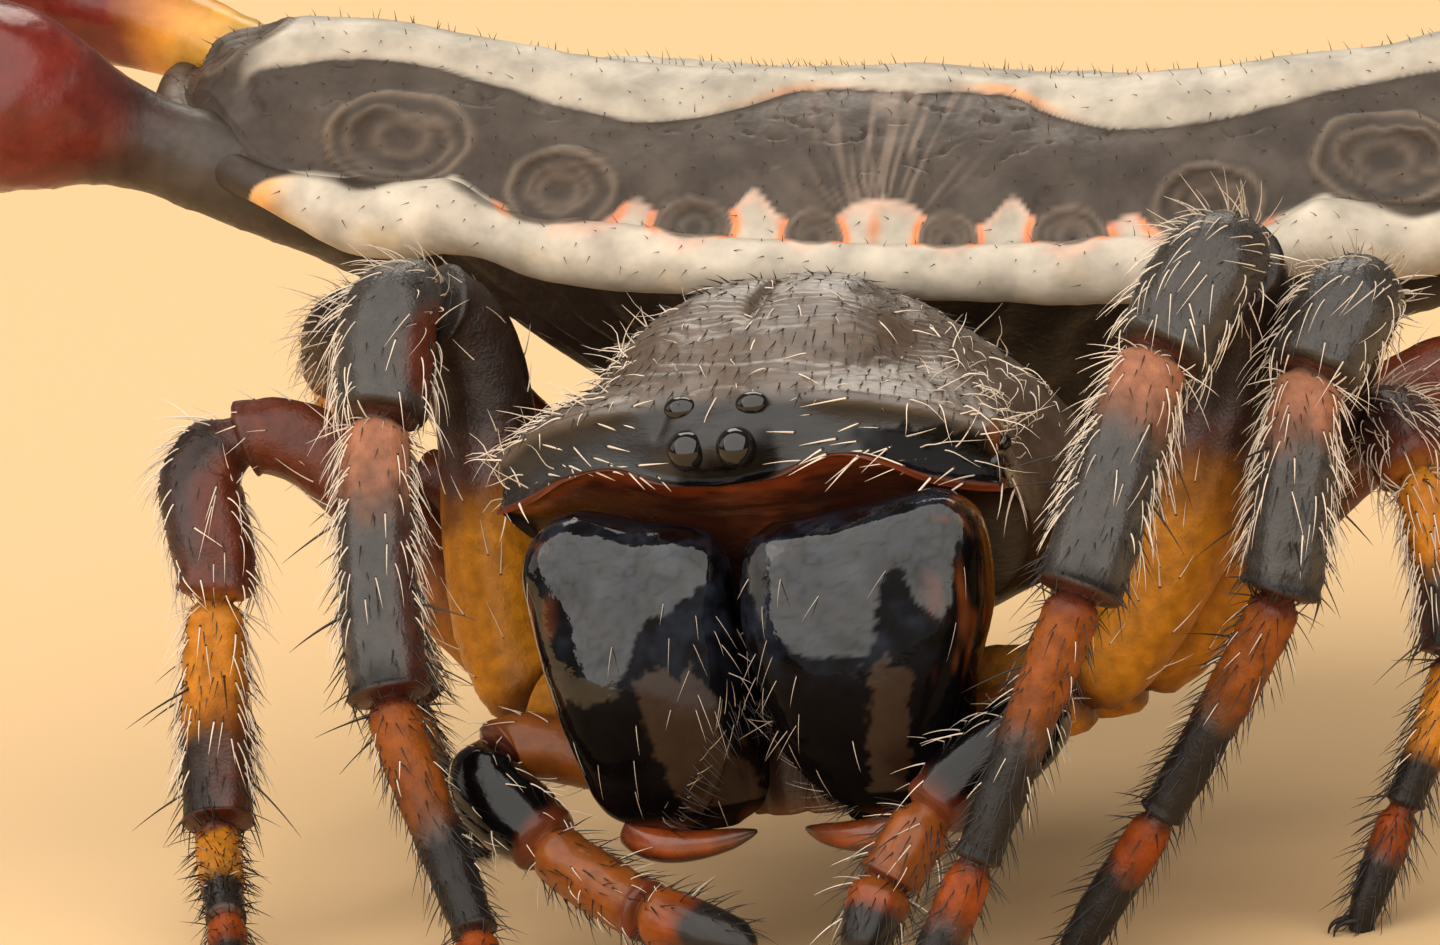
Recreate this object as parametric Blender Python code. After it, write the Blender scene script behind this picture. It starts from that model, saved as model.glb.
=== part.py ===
"""A spiny orb weaver standing on the floor: solids of its body, legs, eyes and spines.

The spider faces -Y, its own left side is +X and the floor is z = 0.
Shapes are worked out in millimetres and turned into metres when a mesh is made.
"""

import math

import bmesh
import bpy
from mathutils import Matrix, Vector

MM = 0.001
GAP = 0.05

# Driving sizes of the body, in mm, before the whole animal is centred over the origin.
EYE_HEIGHT = 3.70
HEAD_ROLL = math.radians(3.0)
CARAPACE_REAR_Y = 3.45
CARAPACE_CROWN_Z = 4.60
CARAPACE_UNDER_Z = 2.20
ABDOMEN_FRONT = Vector((0.17, 2.63, 4.10))
ABDOMEN_YAW = math.radians(12.0)
ABDOMEN_ROLL = math.radians(5.0)
ABDOMEN_MIDDLE_Y = 2.90
BELLY_DEPTH = 2.35

LEG_SIDES = 10
EYE_SIDES = 8

# Colours of the body, as linear red, green and blue.
BLACK_SHELL = (0.020, 0.019, 0.019)
GLOSSY_BLACK = (0.010, 0.009, 0.009)
CREAM = (0.72, 0.66, 0.54)
BELLY_BLACK = (0.030, 0.024, 0.020)
ORANGE = (0.42, 0.105, 0.018)
DARK_BROWN = (0.060, 0.022, 0.012)
EYE_BLACK = (0.004, 0.004, 0.005)
FANG_BROWN = (0.20, 0.055, 0.015)


def clear_scene():
    for obj in list(bpy.data.objects):
        bpy.data.objects.remove(obj)


def material(name, colour, roughness):
    mat = bpy.data.materials.new(name)
    mat.use_nodes = True
    shader = mat.node_tree.nodes["Principled BSDF"]
    shader.inputs["Base Color"].default_value = (*colour, 1.0)
    shader.inputs["Roughness"].default_value = roughness
    shader.inputs["Metallic"].default_value = 0.0
    return mat


def lerp(a, b, t):
    return a + (b - a) * t


def hill(x, width):
    """A smooth bump of height 1 around x = 0."""
    return math.exp(-((x / width) ** 2))


def read(table, x):
    """Value at x of a smooth curve through a table of (x, value) pairs."""
    if x <= table[0][0]:
        return table[0][1]
    if x >= table[-1][0]:
        return table[-1][1]
    k = max(i for i in range(len(table) - 1) if table[i][0] <= x)
    slopes = []
    for i in (k, k + 1):
        before = table[max(i - 1, 0)]
        after = table[min(i + 1, len(table) - 1)]
        slopes.append((after[1] - before[1]) / (after[0] - before[0]))
    (x0, y0), (x1, y1) = table[k], table[k + 1]
    w = x1 - x0
    t = (x - x0) / w
    return (
        y0 * (1 + 2 * t) * (1 - t) ** 2
        + slopes[0] * w * t * (1 - t) ** 2
        + y1 * t * t * (3 - 2 * t)
        + slopes[1] * w * t * t * (t - 1)
    )


def make_object(name, points, faces, mat, place=None):
    """A closed, smooth-shaded mesh object from points in mm, turned and moved by place."""
    mesh = bpy.data.meshes.new(name)
    if place is not None:
        points = [place @ Vector(p) for p in points]
    mesh.from_pydata([Vector(p) for p in points], [], faces)
    tidy = bmesh.new()
    tidy.from_mesh(mesh)
    bmesh.ops.remove_doubles(tidy, verts=tidy.verts, dist=0.0005)
    bmesh.ops.recalc_face_normals(tidy, faces=tidy.faces)
    tidy.to_mesh(mesh)
    tidy.free()
    mesh.materials.append(mat)
    mesh.shade_smooth()
    mesh.set_sharp_from_angle(angle=math.radians(50))
    obj = bpy.data.objects.new(name, mesh)
    bpy.context.scene.collection.objects.link(obj)
    return obj


def loft(rings):
    """Points and faces of a closed solid through rings of equal count, flat at both ends."""
    count = len(rings[0])
    points = [p for ring in rings for p in ring]
    faces = []
    for j in range(len(rings) - 1):
        for i in range(count):
            a = j * count + i
            b = j * count + (i + 1) % count
            faces.append((a, b, b + count, a + count))
    faces.append(tuple(range(count - 1, -1, -1)))
    faces.append(tuple(range((len(rings) - 1) * count, len(rings) * count)))
    return points, faces


def two_skins(top, under):
    """Points and faces of a closed solid from two grids that share their outer edge."""
    rows, columns = len(top), len(top[0])
    points = [p for row in top for p in row] + [p for row in under for p in row]
    faces = []
    for j in range(rows - 1):
        for i in range(columns - 1):
            a = j * columns + i
            quad = (a, a + 1, a + 1 + columns, a + columns)
            faces.append(quad)
            faces.append(tuple(q + rows * columns for q in reversed(quad)))
    return points, faces


def bezier(p0, p1, p2, p3, t):
    s = 1 - t
    return p0 * s**3 + p1 * (3 * s * s * t) + p2 * (3 * s * t * t) + p3 * t**3


def bezier_direction(p0, p1, p2, p3, t):
    s = 1 - t
    return ((p1 - p0) * s * s + (p2 - p1) * (2 * s * t) + (p3 - p2) * t * t).normalized()


def limb_spans(joints, ease, last_direction=None):
    """Bezier control points of each stretch of a limb, smooth through its joints."""
    chords = [joints[i + 1] - joints[i] for i in range(len(joints) - 1)]
    tangents = [chords[0].normalized()]
    for before, after in zip(chords, chords[1:]):
        tangents.append((before.normalized() + after.normalized()).normalized())
    tangents.append((last_direction or chords[-1]).normalized())
    spans = []
    for i, chord in enumerate(chords):
        reach = chord.length * ease[i]
        spans.append(
            (
                joints[i],
                joints[i] + tangents[i] * reach,
                joints[i + 1] - tangents[i + 1] * reach,
                joints[i + 1],
            )
        )
    return spans


def tube_rings(spans, radii, counts, sides, start_cut, end_cut):
    """Rings round one or more spans, which stop short of their ends by the two cuts."""
    stations = []
    total = len(spans)
    for k, span in enumerate(spans):
        length = (span[3] - span[0]).length
        first = start_cut / length if k == 0 else 0.0
        last = 1.0 - end_cut / length if k == total - 1 else 1.0
        for j in range(counts[k] + 1):
            if k and j == 0:
                continue
            t = lerp(first, last, j / counts[k])
            stations.append((bezier(*span, t), bezier_direction(*span, t), read(radii[k], t)))
    side = stations[0][1].cross(Vector((0.31, 0.17, 0.93))).normalized()
    rings = []
    for centre, along, radius in stations:
        side = (side - along * side.dot(along)).normalized()
        up = along.cross(side)
        rings.append(
            [
                centre + (side * math.cos(a) + up * math.sin(a)) * radius
                for a in (2 * math.pi * i / sides for i in range(sides))
            ]
        )
    return rings, stations[-1][1]


def set_on_floor(ring, along):
    """Slides the points of a ring along a direction until they lie on the floor."""
    return [p - along * (p.z / along.z) for p in ring]


# Joints of each leg, in mm: coxa root, femur root, knee, patella end, tibia end,
# metatarsus end and foot. Sides are the spider's own.
LEG_JOINTS = {
    "leg_1_left": (
        (1.30, 1.20, 1.78), (2.00, 1.24, 1.76), (3.30, 1.50, 4.60), (2.99, 0.75, 4.13),
        (2.70, -0.35, 2.77), (2.06, -1.00, 1.13), (1.60, -1.40, 0.0),
    ),
    "leg_2_left": (
        (1.45, 1.80, 1.76), (2.14, 1.88, 1.72), (3.90, 2.15, 4.18), (3.79, 1.45, 3.82),
        (3.62, 0.90, 2.46), (2.74, 0.60, 1.02), (2.05, 0.42, 0.0),
    ),
    "leg_3_left": (
        (1.42, 2.47, 1.78), (2.05, 2.70, 1.76), (3.55, 2.85, 3.15), (4.12, 2.40, 2.92),
        (4.40, 2.05, 1.75), (4.05, 1.70, 0.80), (3.75, 1.45, 0.0),
    ),
    "leg_4_left": (
        (1.12, 3.10, 1.82), (1.76, 3.52, 1.84), (4.05, 3.95, 3.30), (4.60, 4.55, 2.95),
        (4.80, 5.75, 1.80), (4.45, 6.60, 0.75), (4.10, 7.20, 0.0),
    ),
    "leg_1_right": (
        (-1.30, 1.20, 1.70), (-1.98, 1.24, 1.66), (-2.68, 1.68, 4.36), (-2.82, 0.90, 3.73),
        (-2.53, 0.00, 2.00), (-1.80, -0.62, 0.52), (-1.45, -1.46, 0.0),
    ),
    "leg_2_right": (
        (-1.45, 1.80, 1.68), (-2.14, 1.88, 1.62), (-4.38, 1.95, 3.36), (-4.49, 1.50, 2.34),
        (-4.52, 1.20, 0.80), (-3.92, -0.06, 0.46), (-3.52, -0.90, 0.0),
    ),
    "leg_3_right": (
        (-1.42, 2.47, 1.70), (-2.05, 2.70, 1.66), (-3.50, 3.05, 2.75), (-3.88, 2.98, 2.15),
        (-3.85, 3.05, 1.20), (-3.72, 3.15, 0.52), (-3.62, 3.45, 0.0),
    ),
    "leg_4_right": (
        (-1.12, 3.10, 1.74), (-1.76, 3.52, 1.76), (-4.10, 3.80, 3.70), (-4.66, 4.30, 3.35),
        (-4.95, 5.50, 2.10), (-4.62, 6.45, 0.85), (-4.30, 7.15, 0.0),
    ),
}

# Radii along each stretch, as (part of its length, radius in mm) for a leg of full thickness.
COXA_RADII = ((0.0, 0.26), (0.5, 0.32), (0.8, 0.31), (1.0, 0.25))
FEMUR_RADII = ((0.0, 0.25), (0.10, 0.31), (0.45, 0.36), (0.85, 0.33), (1.0, 0.30))
PATELLA_RADII = ((0.0, 0.29), (0.3, 0.345), (0.75, 0.35), (1.0, 0.31))
TIBIA_RADII = ((0.0, 0.23), (0.15, 0.28), (0.6, 0.30), (0.93, 0.29), (1.0, 0.26))
METATARSUS_RADII = ((0.0, 0.20), (0.12, 0.235), (0.7, 0.205), (1.0, 0.19))
TARSUS_RADII = ((0.0, 0.165), (0.2, 0.18), (0.7, 0.16), (1.0, 0.115))
LEG_THICKNESS = {"1": 1.0, "2": 1.0, "3": 0.88, "4": 1.0}
LEG_EASE = (0.2, 0.30, 0.55, 0.22, 0.22, 0.25)


def scaled(radii, factor):
    return tuple((t, r * factor) for t, r in radii)


def build_leg(name, joints, mats):
    joints = [Vector(j) for j in joints]
    thick = LEG_THICKNESS[name.split("_")[1]]
    last = (joints[6] - joints[5]).normalized() + Vector((0, 0, -0.7))
    spans = limb_spans(joints, LEG_EASE, last)
    pieces = (
        ("femur", (0, 1), (COXA_RADII, FEMUR_RADII), (2, 6)),
        ("patella", (2,), (PATELLA_RADII,), (5,)),
        ("tibia", (3,), (TIBIA_RADII,), (5,)),
        ("foot", (4, 5), (METATARSUS_RADII, TARSUS_RADII), (4, 4)),
    )
    for part, which, radii, counts in pieces:
        on_floor = part == "foot"
        rings, along = tube_rings(
            [spans[i] for i in which],
            [scaled(r, thick) for r in radii],
            counts,
            LEG_SIDES,
            GAP / 2,
            0.0 if on_floor else GAP / 2,
        )
        if on_floor:
            rings[-1] = set_on_floor(rings[-1], along)
        make_object(f"{name}_{part}", *loft(rings), mats[part])


# Joints of each palp, in mm: root, knee, patella end, tibia end and tip.
PALP_JOINTS = {
    "palp_left": (
        (1.02, 0.86, 1.38), (1.98, 0.50, 1.78), (1.50, -0.36, 1.28), (1.24, -0.60, 0.88),
        (1.12, -0.95, 0.45),
    ),
    "palp_right": (
        (-1.02, 0.86, 1.28), (-2.04, 0.60, 1.46), (-1.53, 0.16, 0.93), (-0.66, -0.26, 0.58),
        (0.20, -0.52, 0.42),
    ),
}
PALP_FEMUR_RADII = ((0.0, 0.18), (0.3, 0.22), (0.8, 0.23), (1.0, 0.21))
PALP_PATELLA_RADII = ((0.0, 0.20), (0.4, 0.245), (0.8, 0.235), (1.0, 0.20))
PALP_TIBIA_RADII = ((0.0, 0.19), (0.5, 0.215), (1.0, 0.20))
PALP_TARSUS_RADII = ((0.0, 0.19), (0.3, 0.21), (0.75, 0.16), (1.0, 0.07))


def build_palp(name, joints, mats):
    spans = limb_spans([Vector(j) for j in joints], (0.25, 0.45, 0.25, 0.25))
    pieces = (
        ("femur", (0,), (PALP_FEMUR_RADII,), (4,)),
        ("tip", (1, 2, 3), (PALP_PATELLA_RADII, PALP_TIBIA_RADII, PALP_TARSUS_RADII), (4, 3, 4)),
    )
    for part, which, radii, counts in pieces:
        rings, _ = tube_rings(
            [spans[i] for i in which], radii, counts, LEG_SIDES, GAP / 2, GAP / 2
        )
        make_object(f"{name}_{part}", *loft(rings), mats[part])


HEAD_PLACE = (
    Matrix.Translation((0, 0, EYE_HEIGHT))
    @ Matrix.Rotation(-HEAD_ROLL, 4, "Y")
    @ Matrix.Translation((0, 0, -EYE_HEIGHT))
)

# The carapace: half width, crown height, edge height and underside along its length.
CARAPACE_HALF_WIDTH = ((0.0, 1.70), (0.5, 1.85), (1.5, 1.89), (2.2, 2.02), (2.9, 1.75), (3.45, 1.0))
CARAPACE_CROWN = (
    (0.10, 3.46), (0.30, 3.98), (0.60, 4.25), (0.95, 4.50), (1.30, CARAPACE_CROWN_Z),
    (1.70, 4.58), (2.10, 4.30), (2.50, 3.86), (2.90, 3.36), (CARAPACE_REAR_Y, 2.62),
)
CARAPACE_EDGE = ((0.0, 3.40), (0.5, 3.30), (1.0, 2.95), (2.0, 2.75), (3.45, 2.46))
CARAPACE_UNDER = (
    (0.10, 3.40), (0.22, 3.24), (0.42, 3.10), (0.62, 2.95), (0.80, CARAPACE_UNDER_Z),
    (2.6, CARAPACE_UNDER_Z), (CARAPACE_REAR_Y, 2.40),
)
LIP_Y = 0.10
LIP_Z = 3.43
LIP_SWEEP = 0.42
LIP_ARCH = 0.15
EYE_MOUND = 0.14
LIP_DROP = 0.16
CARAPACE_ROWS = (
    0, 0.02, 0.05, 0.09, 0.13, 0.17, 0.21, 0.26, 0.34, 0.43, 0.52, 0.61, 0.70, 0.8, 0.9, 1,
)
CARAPACE_COLUMNS = 20
# Parts of the length over which the upper side, the eye mound and the underside leave the lip.
LIP_TO_CROWN = 0.03
LIP_TO_MOUND = 0.02
LIP_TO_UNDER = 0.2


def lip_height(s):
    """Height of the front lip, which dips under the eyes and arches over each chelicera."""
    arch = LIP_ARCH * hill(abs(s) - 0.46, 0.2)
    return LIP_Z + arch - LIP_DROP * abs(s) ** 6


def carapace_row(v, upper):
    """Points across the carapace at a part v of its length, on its upper side or underside."""
    row = []
    for i in range(CARAPACE_COLUMNS + 1):
        s = math.sin(math.pi * (i / CARAPACE_COLUMNS - 0.5))
        front = LIP_Y + LIP_SWEEP * abs(s) ** 3
        y = lerp(front, CARAPACE_REAR_Y, v)
        x = s * read(CARAPACE_HALF_WIDTH, y)
        edge = read(CARAPACE_EDGE, y)
        middle_y = lerp(LIP_Y, CARAPACE_REAR_Y, v)
        lip = lip_height(s)
        if upper:
            swell = max(0.0, 1 - abs(s) ** 2.2) ** (1 / 2.8)
            crown = read(CARAPACE_CROWN, middle_y)
            z = lerp(lip, lerp(edge, crown, swell), min(1.0, v / LIP_TO_CROWN))
            mound = hill(x, 0.42) * hill(z - EYE_HEIGHT, 0.22)
            y -= EYE_MOUND * mound * min(1.0, v / LIP_TO_MOUND)
        else:
            under = read(CARAPACE_UNDER, middle_y)
            deep = lerp(edge, under, max(0.0, 1 - abs(s) ** 4) ** 0.4)
            z = lerp(lip, deep, min(1.0, v / LIP_TO_UNDER))
        if v == 0:
            z = lip
        elif v == 1 or abs(s) > 0.9999:
            z = edge
        row.append((x, y, z))
    return row


def build_carapace(mat):
    top = [carapace_row(v, True) for v in CARAPACE_ROWS]
    under = [carapace_row(v, False) for v in CARAPACE_ROWS]
    return make_object("carapace", *two_skins(top, under), mat, HEAD_PLACE)


# Eyes: place on the head and radius, in mm, for the spider's left side.
EYES = {
    "eye_front_median": ((0.195, 0.03, 3.70), 0.150),
    "eye_rear_median": ((0.265, 0.22, 3.98), 0.115),
    "eye_front_lateral": ((1.84, 0.50, 3.42), 0.085),
    "eye_rear_lateral": ((1.86, 0.66, 3.52), 0.085),
}


def ball(centre, radius, sides):
    rings = []
    for j in range(1, sides):
        a = math.pi * j / sides
        rings.append(
            [
                Vector(centre)
                + radius
                * Vector(
                    (
                        math.sin(a) * math.cos(2 * math.pi * i / sides),
                        math.sin(a) * math.sin(2 * math.pi * i / sides),
                        math.cos(a),
                    )
                )
                for i in range(sides)
            ]
        )
    return loft(rings)


def boolean(target, others, operation, solver="EXACT"):
    """Joins or cuts target with other objects in one go, and removes them."""
    group = bpy.data.collections.new("pieces")
    bpy.context.scene.collection.children.link(group)
    for obj in others:
        bpy.context.scene.collection.objects.unlink(obj)
        group.objects.link(obj)
    modifier = target.modifiers.new("join", "BOOLEAN")
    modifier.operation = operation
    modifier.operand_type = "COLLECTION"
    modifier.collection = group
    modifier.solver = solver
    bpy.context.view_layer.update()
    graph = bpy.context.evaluated_depsgraph_get()
    joined = bpy.data.meshes.new_from_object(target.evaluated_get(graph))
    target.modifiers.clear()
    target.data = joined
    for obj in others:
        bpy.data.objects.remove(obj)
    bpy.data.collections.remove(group)
    keep_largest(joined)
    joined.shade_smooth()
    joined.set_sharp_from_angle(angle=math.radians(50))


def keep_largest(mesh):
    """Leaves only the largest closed surface of a mesh."""
    work = bmesh.new()
    work.from_mesh(mesh)
    left = set(work.faces)
    islands = []
    while left:
        seed = left.pop()
        island = {seed}
        reached = [seed]
        while reached:
            face = reached.pop()
            for edge in face.edges:
                for other in edge.link_faces:
                    if other in left:
                        left.remove(other)
                        island.add(other)
                        reached.append(other)
        islands.append(island)
    largest = max(islands, key=lambda island: sum(f.calc_area() for f in island))
    loose = [f for island in islands if island is not largest for f in island]
    bmesh.ops.delete(work, geom=loose, context="FACES")
    work.to_mesh(mesh)
    work.free()


def build_eyes(carapace, mat, socket_mat):
    sockets = []
    for name, (centre, radius) in EYES.items():
        for side, sign in (("left", 1), ("right", -1)):
            place = (centre[0] * sign, centre[1], centre[2])
            make_object(f"{name}_{side}", *ball(place, radius, EYE_SIDES), mat, HEAD_PLACE)
            room = ball(place, radius + GAP / 2, EYE_SIDES)
            sockets.append(make_object(f"socket_{name}_{side}", *room, socket_mat, HEAD_PLACE))
    boolean(carapace, sockets, "DIFFERENCE", "MANIFOLD")


# A chelicera, from its base down: height, inner and outer x, front and rear y, in mm.
CHELICERA_LEVELS = (
    (3.16, 0.30, 1.30, 0.02, 0.36),
    (3.04, 0.14, 1.52, -0.16, 0.46),
    (2.80, 0.06, 1.68, -0.32, 0.54),
    (2.45, 0.05, 1.74, -0.40, 0.58),
    (2.05, 0.06, 1.70, -0.38, 0.60),
    (1.65, 0.12, 1.58, -0.26, 0.60),
    (1.35, 0.22, 1.42, -0.10, 0.56),
    (1.15, 0.38, 1.22, 0.04, 0.50),
    (1.06, 0.55, 1.00, 0.16, 0.42),
)
CHELICERA_SIDES = 18
CHELICERA_POWER = 0.75


def chelicera_rings(sign):
    rings = []
    for z, inner, outer, front, rear in CHELICERA_LEVELS:
        centre_x, half_x = (inner + outer) / 2, (outer - inner) / 2
        centre_y, half_y = (front + rear) / 2, (rear - front) / 2
        ring = []
        for i in range(CHELICERA_SIDES):
            a = 2 * math.pi * i / CHELICERA_SIDES
            c, s = math.cos(a), math.sin(a)
            x = centre_x + half_x * math.copysign(abs(c) ** CHELICERA_POWER, c)
            y = centre_y + half_y * math.copysign(abs(s) ** CHELICERA_POWER, s)
            ring.append((sign * x, y, z))
        rings.append(ring)
    return rings


# A folded fang, from its root at the outer corner to its tip under the middle, in mm.
FANG_PATH = ((0.98, 0.30, 0.93), (0.82, 0.16, 0.84), (0.45, 0.18, 0.84), (0.16, 0.32, 0.90))
FANG_RADII = ((0.0, 0.12), (0.4, 0.105), (0.8, 0.06), (1.0, 0.03))


def build_chelicerae(mat, fang_mat):
    for side, sign in (("left", 1), ("right", -1)):
        make_object(f"chelicera_{side}", *loft(chelicera_rings(sign)), mat, HEAD_PLACE)
        span = [Vector((p[0] * sign, p[1], p[2])) for p in FANG_PATH]
        rings, _ = tube_rings([span], (FANG_RADII,), (7,), 8, 0.0, 0.0)
        make_object(f"fang_{side}", *loft(rings), fang_mat, HEAD_PLACE)


def slab_rings(levels, sides, power):
    """Rings of a block from levels of (z, middle y, half x, half y)."""
    rings = []
    for z, middle, half_x, half_y in levels:
        ring = []
        for i in range(sides):
            a = 2 * math.pi * i / sides
            c, s = math.cos(a), math.sin(a)
            x = half_x * math.copysign(abs(c) ** power, c)
            y = middle + half_y * math.copysign(abs(s) ** power, s)
            ring.append((x, y, z))
        rings.append(ring)
    return rings


# Blocks from the top down, as height, middle y, half x and half y, in mm.
MOUTH_LEVELS = (
    (2.10, 0.95, 0.55, 0.16), (1.75, 0.90, 0.66, 0.22), (1.30, 0.84, 0.62, 0.20),
    (1.02, 0.78, 0.40, 0.12),
)
STERNUM_LEVELS = (
    (2.10, 2.05, 0.62, 0.70), (1.80, 2.05, 0.88, 0.90), (1.52, 2.05, 0.84, 0.86),
    (1.40, 2.05, 0.55, 0.60),
)
PEDICEL_PATH = ((0.02, 3.50, 2.42), (0.03, 3.60, 2.50), (0.06, 3.72, 2.60), (0.08, 3.82, 2.66))
PEDICEL_RADIUS = 0.26


def build_underside(mats):
    make_object("mouthparts", *loft(slab_rings(MOUTH_LEVELS, 14, 0.8)), mats["dark"], HEAD_PLACE)
    make_object("sternum", *loft(slab_rings(STERNUM_LEVELS, 16, 0.9)), mats["dark"])
    span = [Vector(p) for p in PEDICEL_PATH]
    radii = ((0.0, PEDICEL_RADIUS), (1.0, PEDICEL_RADIUS))
    rings, _ = tube_rings([span], (radii,), (3,), 10, 0.0, 0.0)
    make_object("pedicel", *loft(rings), mats["dark"])


ABDOMEN_PLACE = (
    Matrix.Translation(ABDOMEN_FRONT)
    @ Matrix.Rotation(ABDOMEN_YAW, 4, "Z")
    @ Matrix.Rotation(ABDOMEN_ROLL, 4, "Y")
)

# Half of the shield's outline from the front to the rear: x, y and rim height, in mm.
SHIELD_OUTLINE = (
    (0.00, 0.00, 0.10), (1.30, 0.03, 0.12), (2.60, 0.13, 0.24), (3.80, 0.32, 0.42),
    (4.70, 0.66, 0.62), (5.25, 1.30, 0.78), (5.48, 2.10, 0.90), (5.40, 2.85, 0.90),
    (4.85, 3.65, 0.76), (3.85, 4.50, 0.56), (2.80, 5.15, 0.44), (2.00, 5.50, 0.36),
    (1.00, 5.82, 0.28), (0.00, 5.95, 0.24),
)
SHIELD_CROWN = (
    (0.0, 1.36), (1.4, 1.40), (1.75, 1.33), (2.9, 1.05), (4.0, 0.82), (5.0, 0.64), (5.95, 0.52),
)
RIM_THICKNESS = 0.40
RIM_FALL = 0.90
RIM_ROUNDING = 0.12
SHIELD_SECTORS = 56
SHIELD_RINGS = (1.0, 0.985, 0.95, 0.90, 0.83, 0.74, 0.62, 0.48, 0.32, 0.16)
BELLY_ROUNDNESS = 1.7
BELLY_POINT = 0.25
BELLY_EDGE = 0.08
BELLY_RINGS = (1.0, 0.97, 0.9, 0.8, 0.68, 0.55, 0.42, 0.28, 0.14)
SHELF = 0.80


def outline_at(turn):
    """Point of the outline, in plan, and rim height at a turn of 0 to 1, front to front."""
    half = SHIELD_OUTLINE
    steps = len(half) - 1
    u = turn * 2
    sign = 1 if u <= 1 else -1
    u = (u if u <= 1 else 2 - u) * steps
    x = read([(k, p[0]) for k, p in enumerate(half)], u)
    y = read([(k, p[1]) for k, p in enumerate(half)], u)
    rim = read([(k, p[2]) for k, p in enumerate(half)], u)
    return sign * x, y, rim


FLOOR_MIDDLE_Z = 0.32
FLOOR_UNDER_RIM = 0.10


def floor_height(rim, r):
    """Height of the surface where the shield meets the belly, at a part r of the way out."""
    return lerp(FLOOR_MIDDLE_Z, rim - FLOOR_UNDER_RIM, r**2)


def dome_height(rim, crown, inset):
    """Height of the shield's upper surface, this far in from its edge."""
    rise = 1 - math.exp(-inset / RIM_FALL)
    roll = RIM_THICKNESS / 10 * min(1.0, inset / RIM_ROUNDING) ** 0.5
    return lerp(rim + RIM_THICKNESS / 2 + roll, crown, rise)


def shield_grids():
    top, under = [], []
    for k in range(SHIELD_SECTORS + 1):
        x, y, rim = outline_at((k % SHIELD_SECTORS) / SHIELD_SECTORS)
        out = Vector((x, y - ABDOMEN_MIDDLE_Y))
        top_row, under_row = [], []
        for r in SHIELD_RINGS:
            px, py = out.x * r, out.y * r + ABDOMEN_MIDDLE_Y
            edge = rim + RIM_THICKNESS / 2
            high = dome_height(rim, read(SHIELD_CROWN, py), out.length * (1 - r))
            top_row.append((px, py, high if r < 1 else edge))
            under_row.append((px, py, floor_height(rim, r) if r < 1 else edge))
        top_row.append((0.0, ABDOMEN_MIDDLE_Y, read(SHIELD_CROWN, ABDOMEN_MIDDLE_Y)))
        under_row.append((0.0, ABDOMEN_MIDDLE_Y, FLOOR_MIDDLE_Z))
        top.append(top_row)
        under.append(under_row)
    return top, under


def belly_grids():
    top, under = [], []
    for k in range(SHIELD_SECTORS + 1):
        x, y, rim = outline_at((k % SHIELD_SECTORS) / SHIELD_SECTORS)
        out = Vector((x, y - ABDOMEN_MIDDLE_Y)) * SHELF
        top_row, under_row = [], []
        for r in BELLY_RINGS:
            px, py = out.x * r, out.y * r + ABDOMEN_MIDDLE_Y
            lid = floor_height(rim, r * SHELF) - GAP
            drop = BELLY_DEPTH * (1 - r**BELLY_ROUNDNESS)
            low = lid - BELLY_EDGE - drop * (1 - BELLY_POINT * r)
            top_row.append((px, py, lid))
            under_row.append((px, py, low if r < 1 else lid))
        middle = FLOOR_MIDDLE_Z - GAP
        top_row.append((0.0, ABDOMEN_MIDDLE_Y, middle))
        under_row.append((0.0, ABDOMEN_MIDDLE_Y, middle - BELLY_EDGE - BELLY_DEPTH))
        top.append(top_row)
        under.append(under_row)
    return top, under


# Spines of the shield, for its left side: root, tip, widest radius and bend, in mm.
SPINES = (
    ("front", (4.60, 1.38, 0.58), (7.75, 0.34, 1.60), 0.62, 0.09),
    ("median", (4.70, 2.60, 1.02), (8.75, 3.35, 1.95), 0.56, 0.22),
    ("rear", (1.92, 5.05, 0.26), (2.58, 6.75, -0.26), 0.30, 0.0),
)
SPINE_TAPER = (
    (0.0, 0.56), (0.15, 0.52), (0.30, 0.64), (0.50, 1.0), (0.66, 0.92), (0.82, 0.56), (1.0, 0.07),
)
SPINE_SIDES = 12
SPINE_RINGS = 10


def spine_rings(root, tip, radius, bend, sign):
    root = Vector((root[0] * sign, root[1], root[2]))
    tip = Vector((tip[0] * sign, tip[1], tip[2]))
    lift = Vector((0, 0, bend))
    span = (root, lerp(root, tip, 0.33) + lift, lerp(root, tip, 0.67) + lift, tip)
    radii = tuple((t, k * radius) for t, k in SPINE_TAPER)
    return tube_rings([span], (radii,), (SPINE_RINGS,), SPINE_SIDES, 0.0, 0.0)[0]


# Sigilla, the ringed scars on the shield: x, y and radius in mm, mirrored where x is not 0.
SIGILLA = (
    (0.47, 0.26, 0.19), (1.30, 0.28, 0.25), (2.25, 0.44, 0.38), (3.46, 0.66, 0.48),
    (4.55, 1.25, 0.46), (0.62, 3.55, 0.24), (0.85, 4.15, 0.20), (1.75, 3.85, 0.22),
    (0.62, 5.25, 0.20), (1.35, 5.02, 0.22), (2.55, 4.62, 0.24), (3.75, 3.95, 0.25),
    (4.70, 3.05, 0.24),
)
SIGILLUM_SIDES = 9
SIGILLUM_RISE = 0.05


def shield_height(x, y):
    """Height of the shield's upper surface over a point in plan."""
    turn = nearest_turn(x, y)
    ox, oy, rim = outline_at(turn)
    reach = math.hypot(ox, oy - ABDOMEN_MIDDLE_Y)
    inset = reach - math.hypot(x, y - ABDOMEN_MIDDLE_Y)
    return dome_height(rim, read(SHIELD_CROWN, y), inset)


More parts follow.
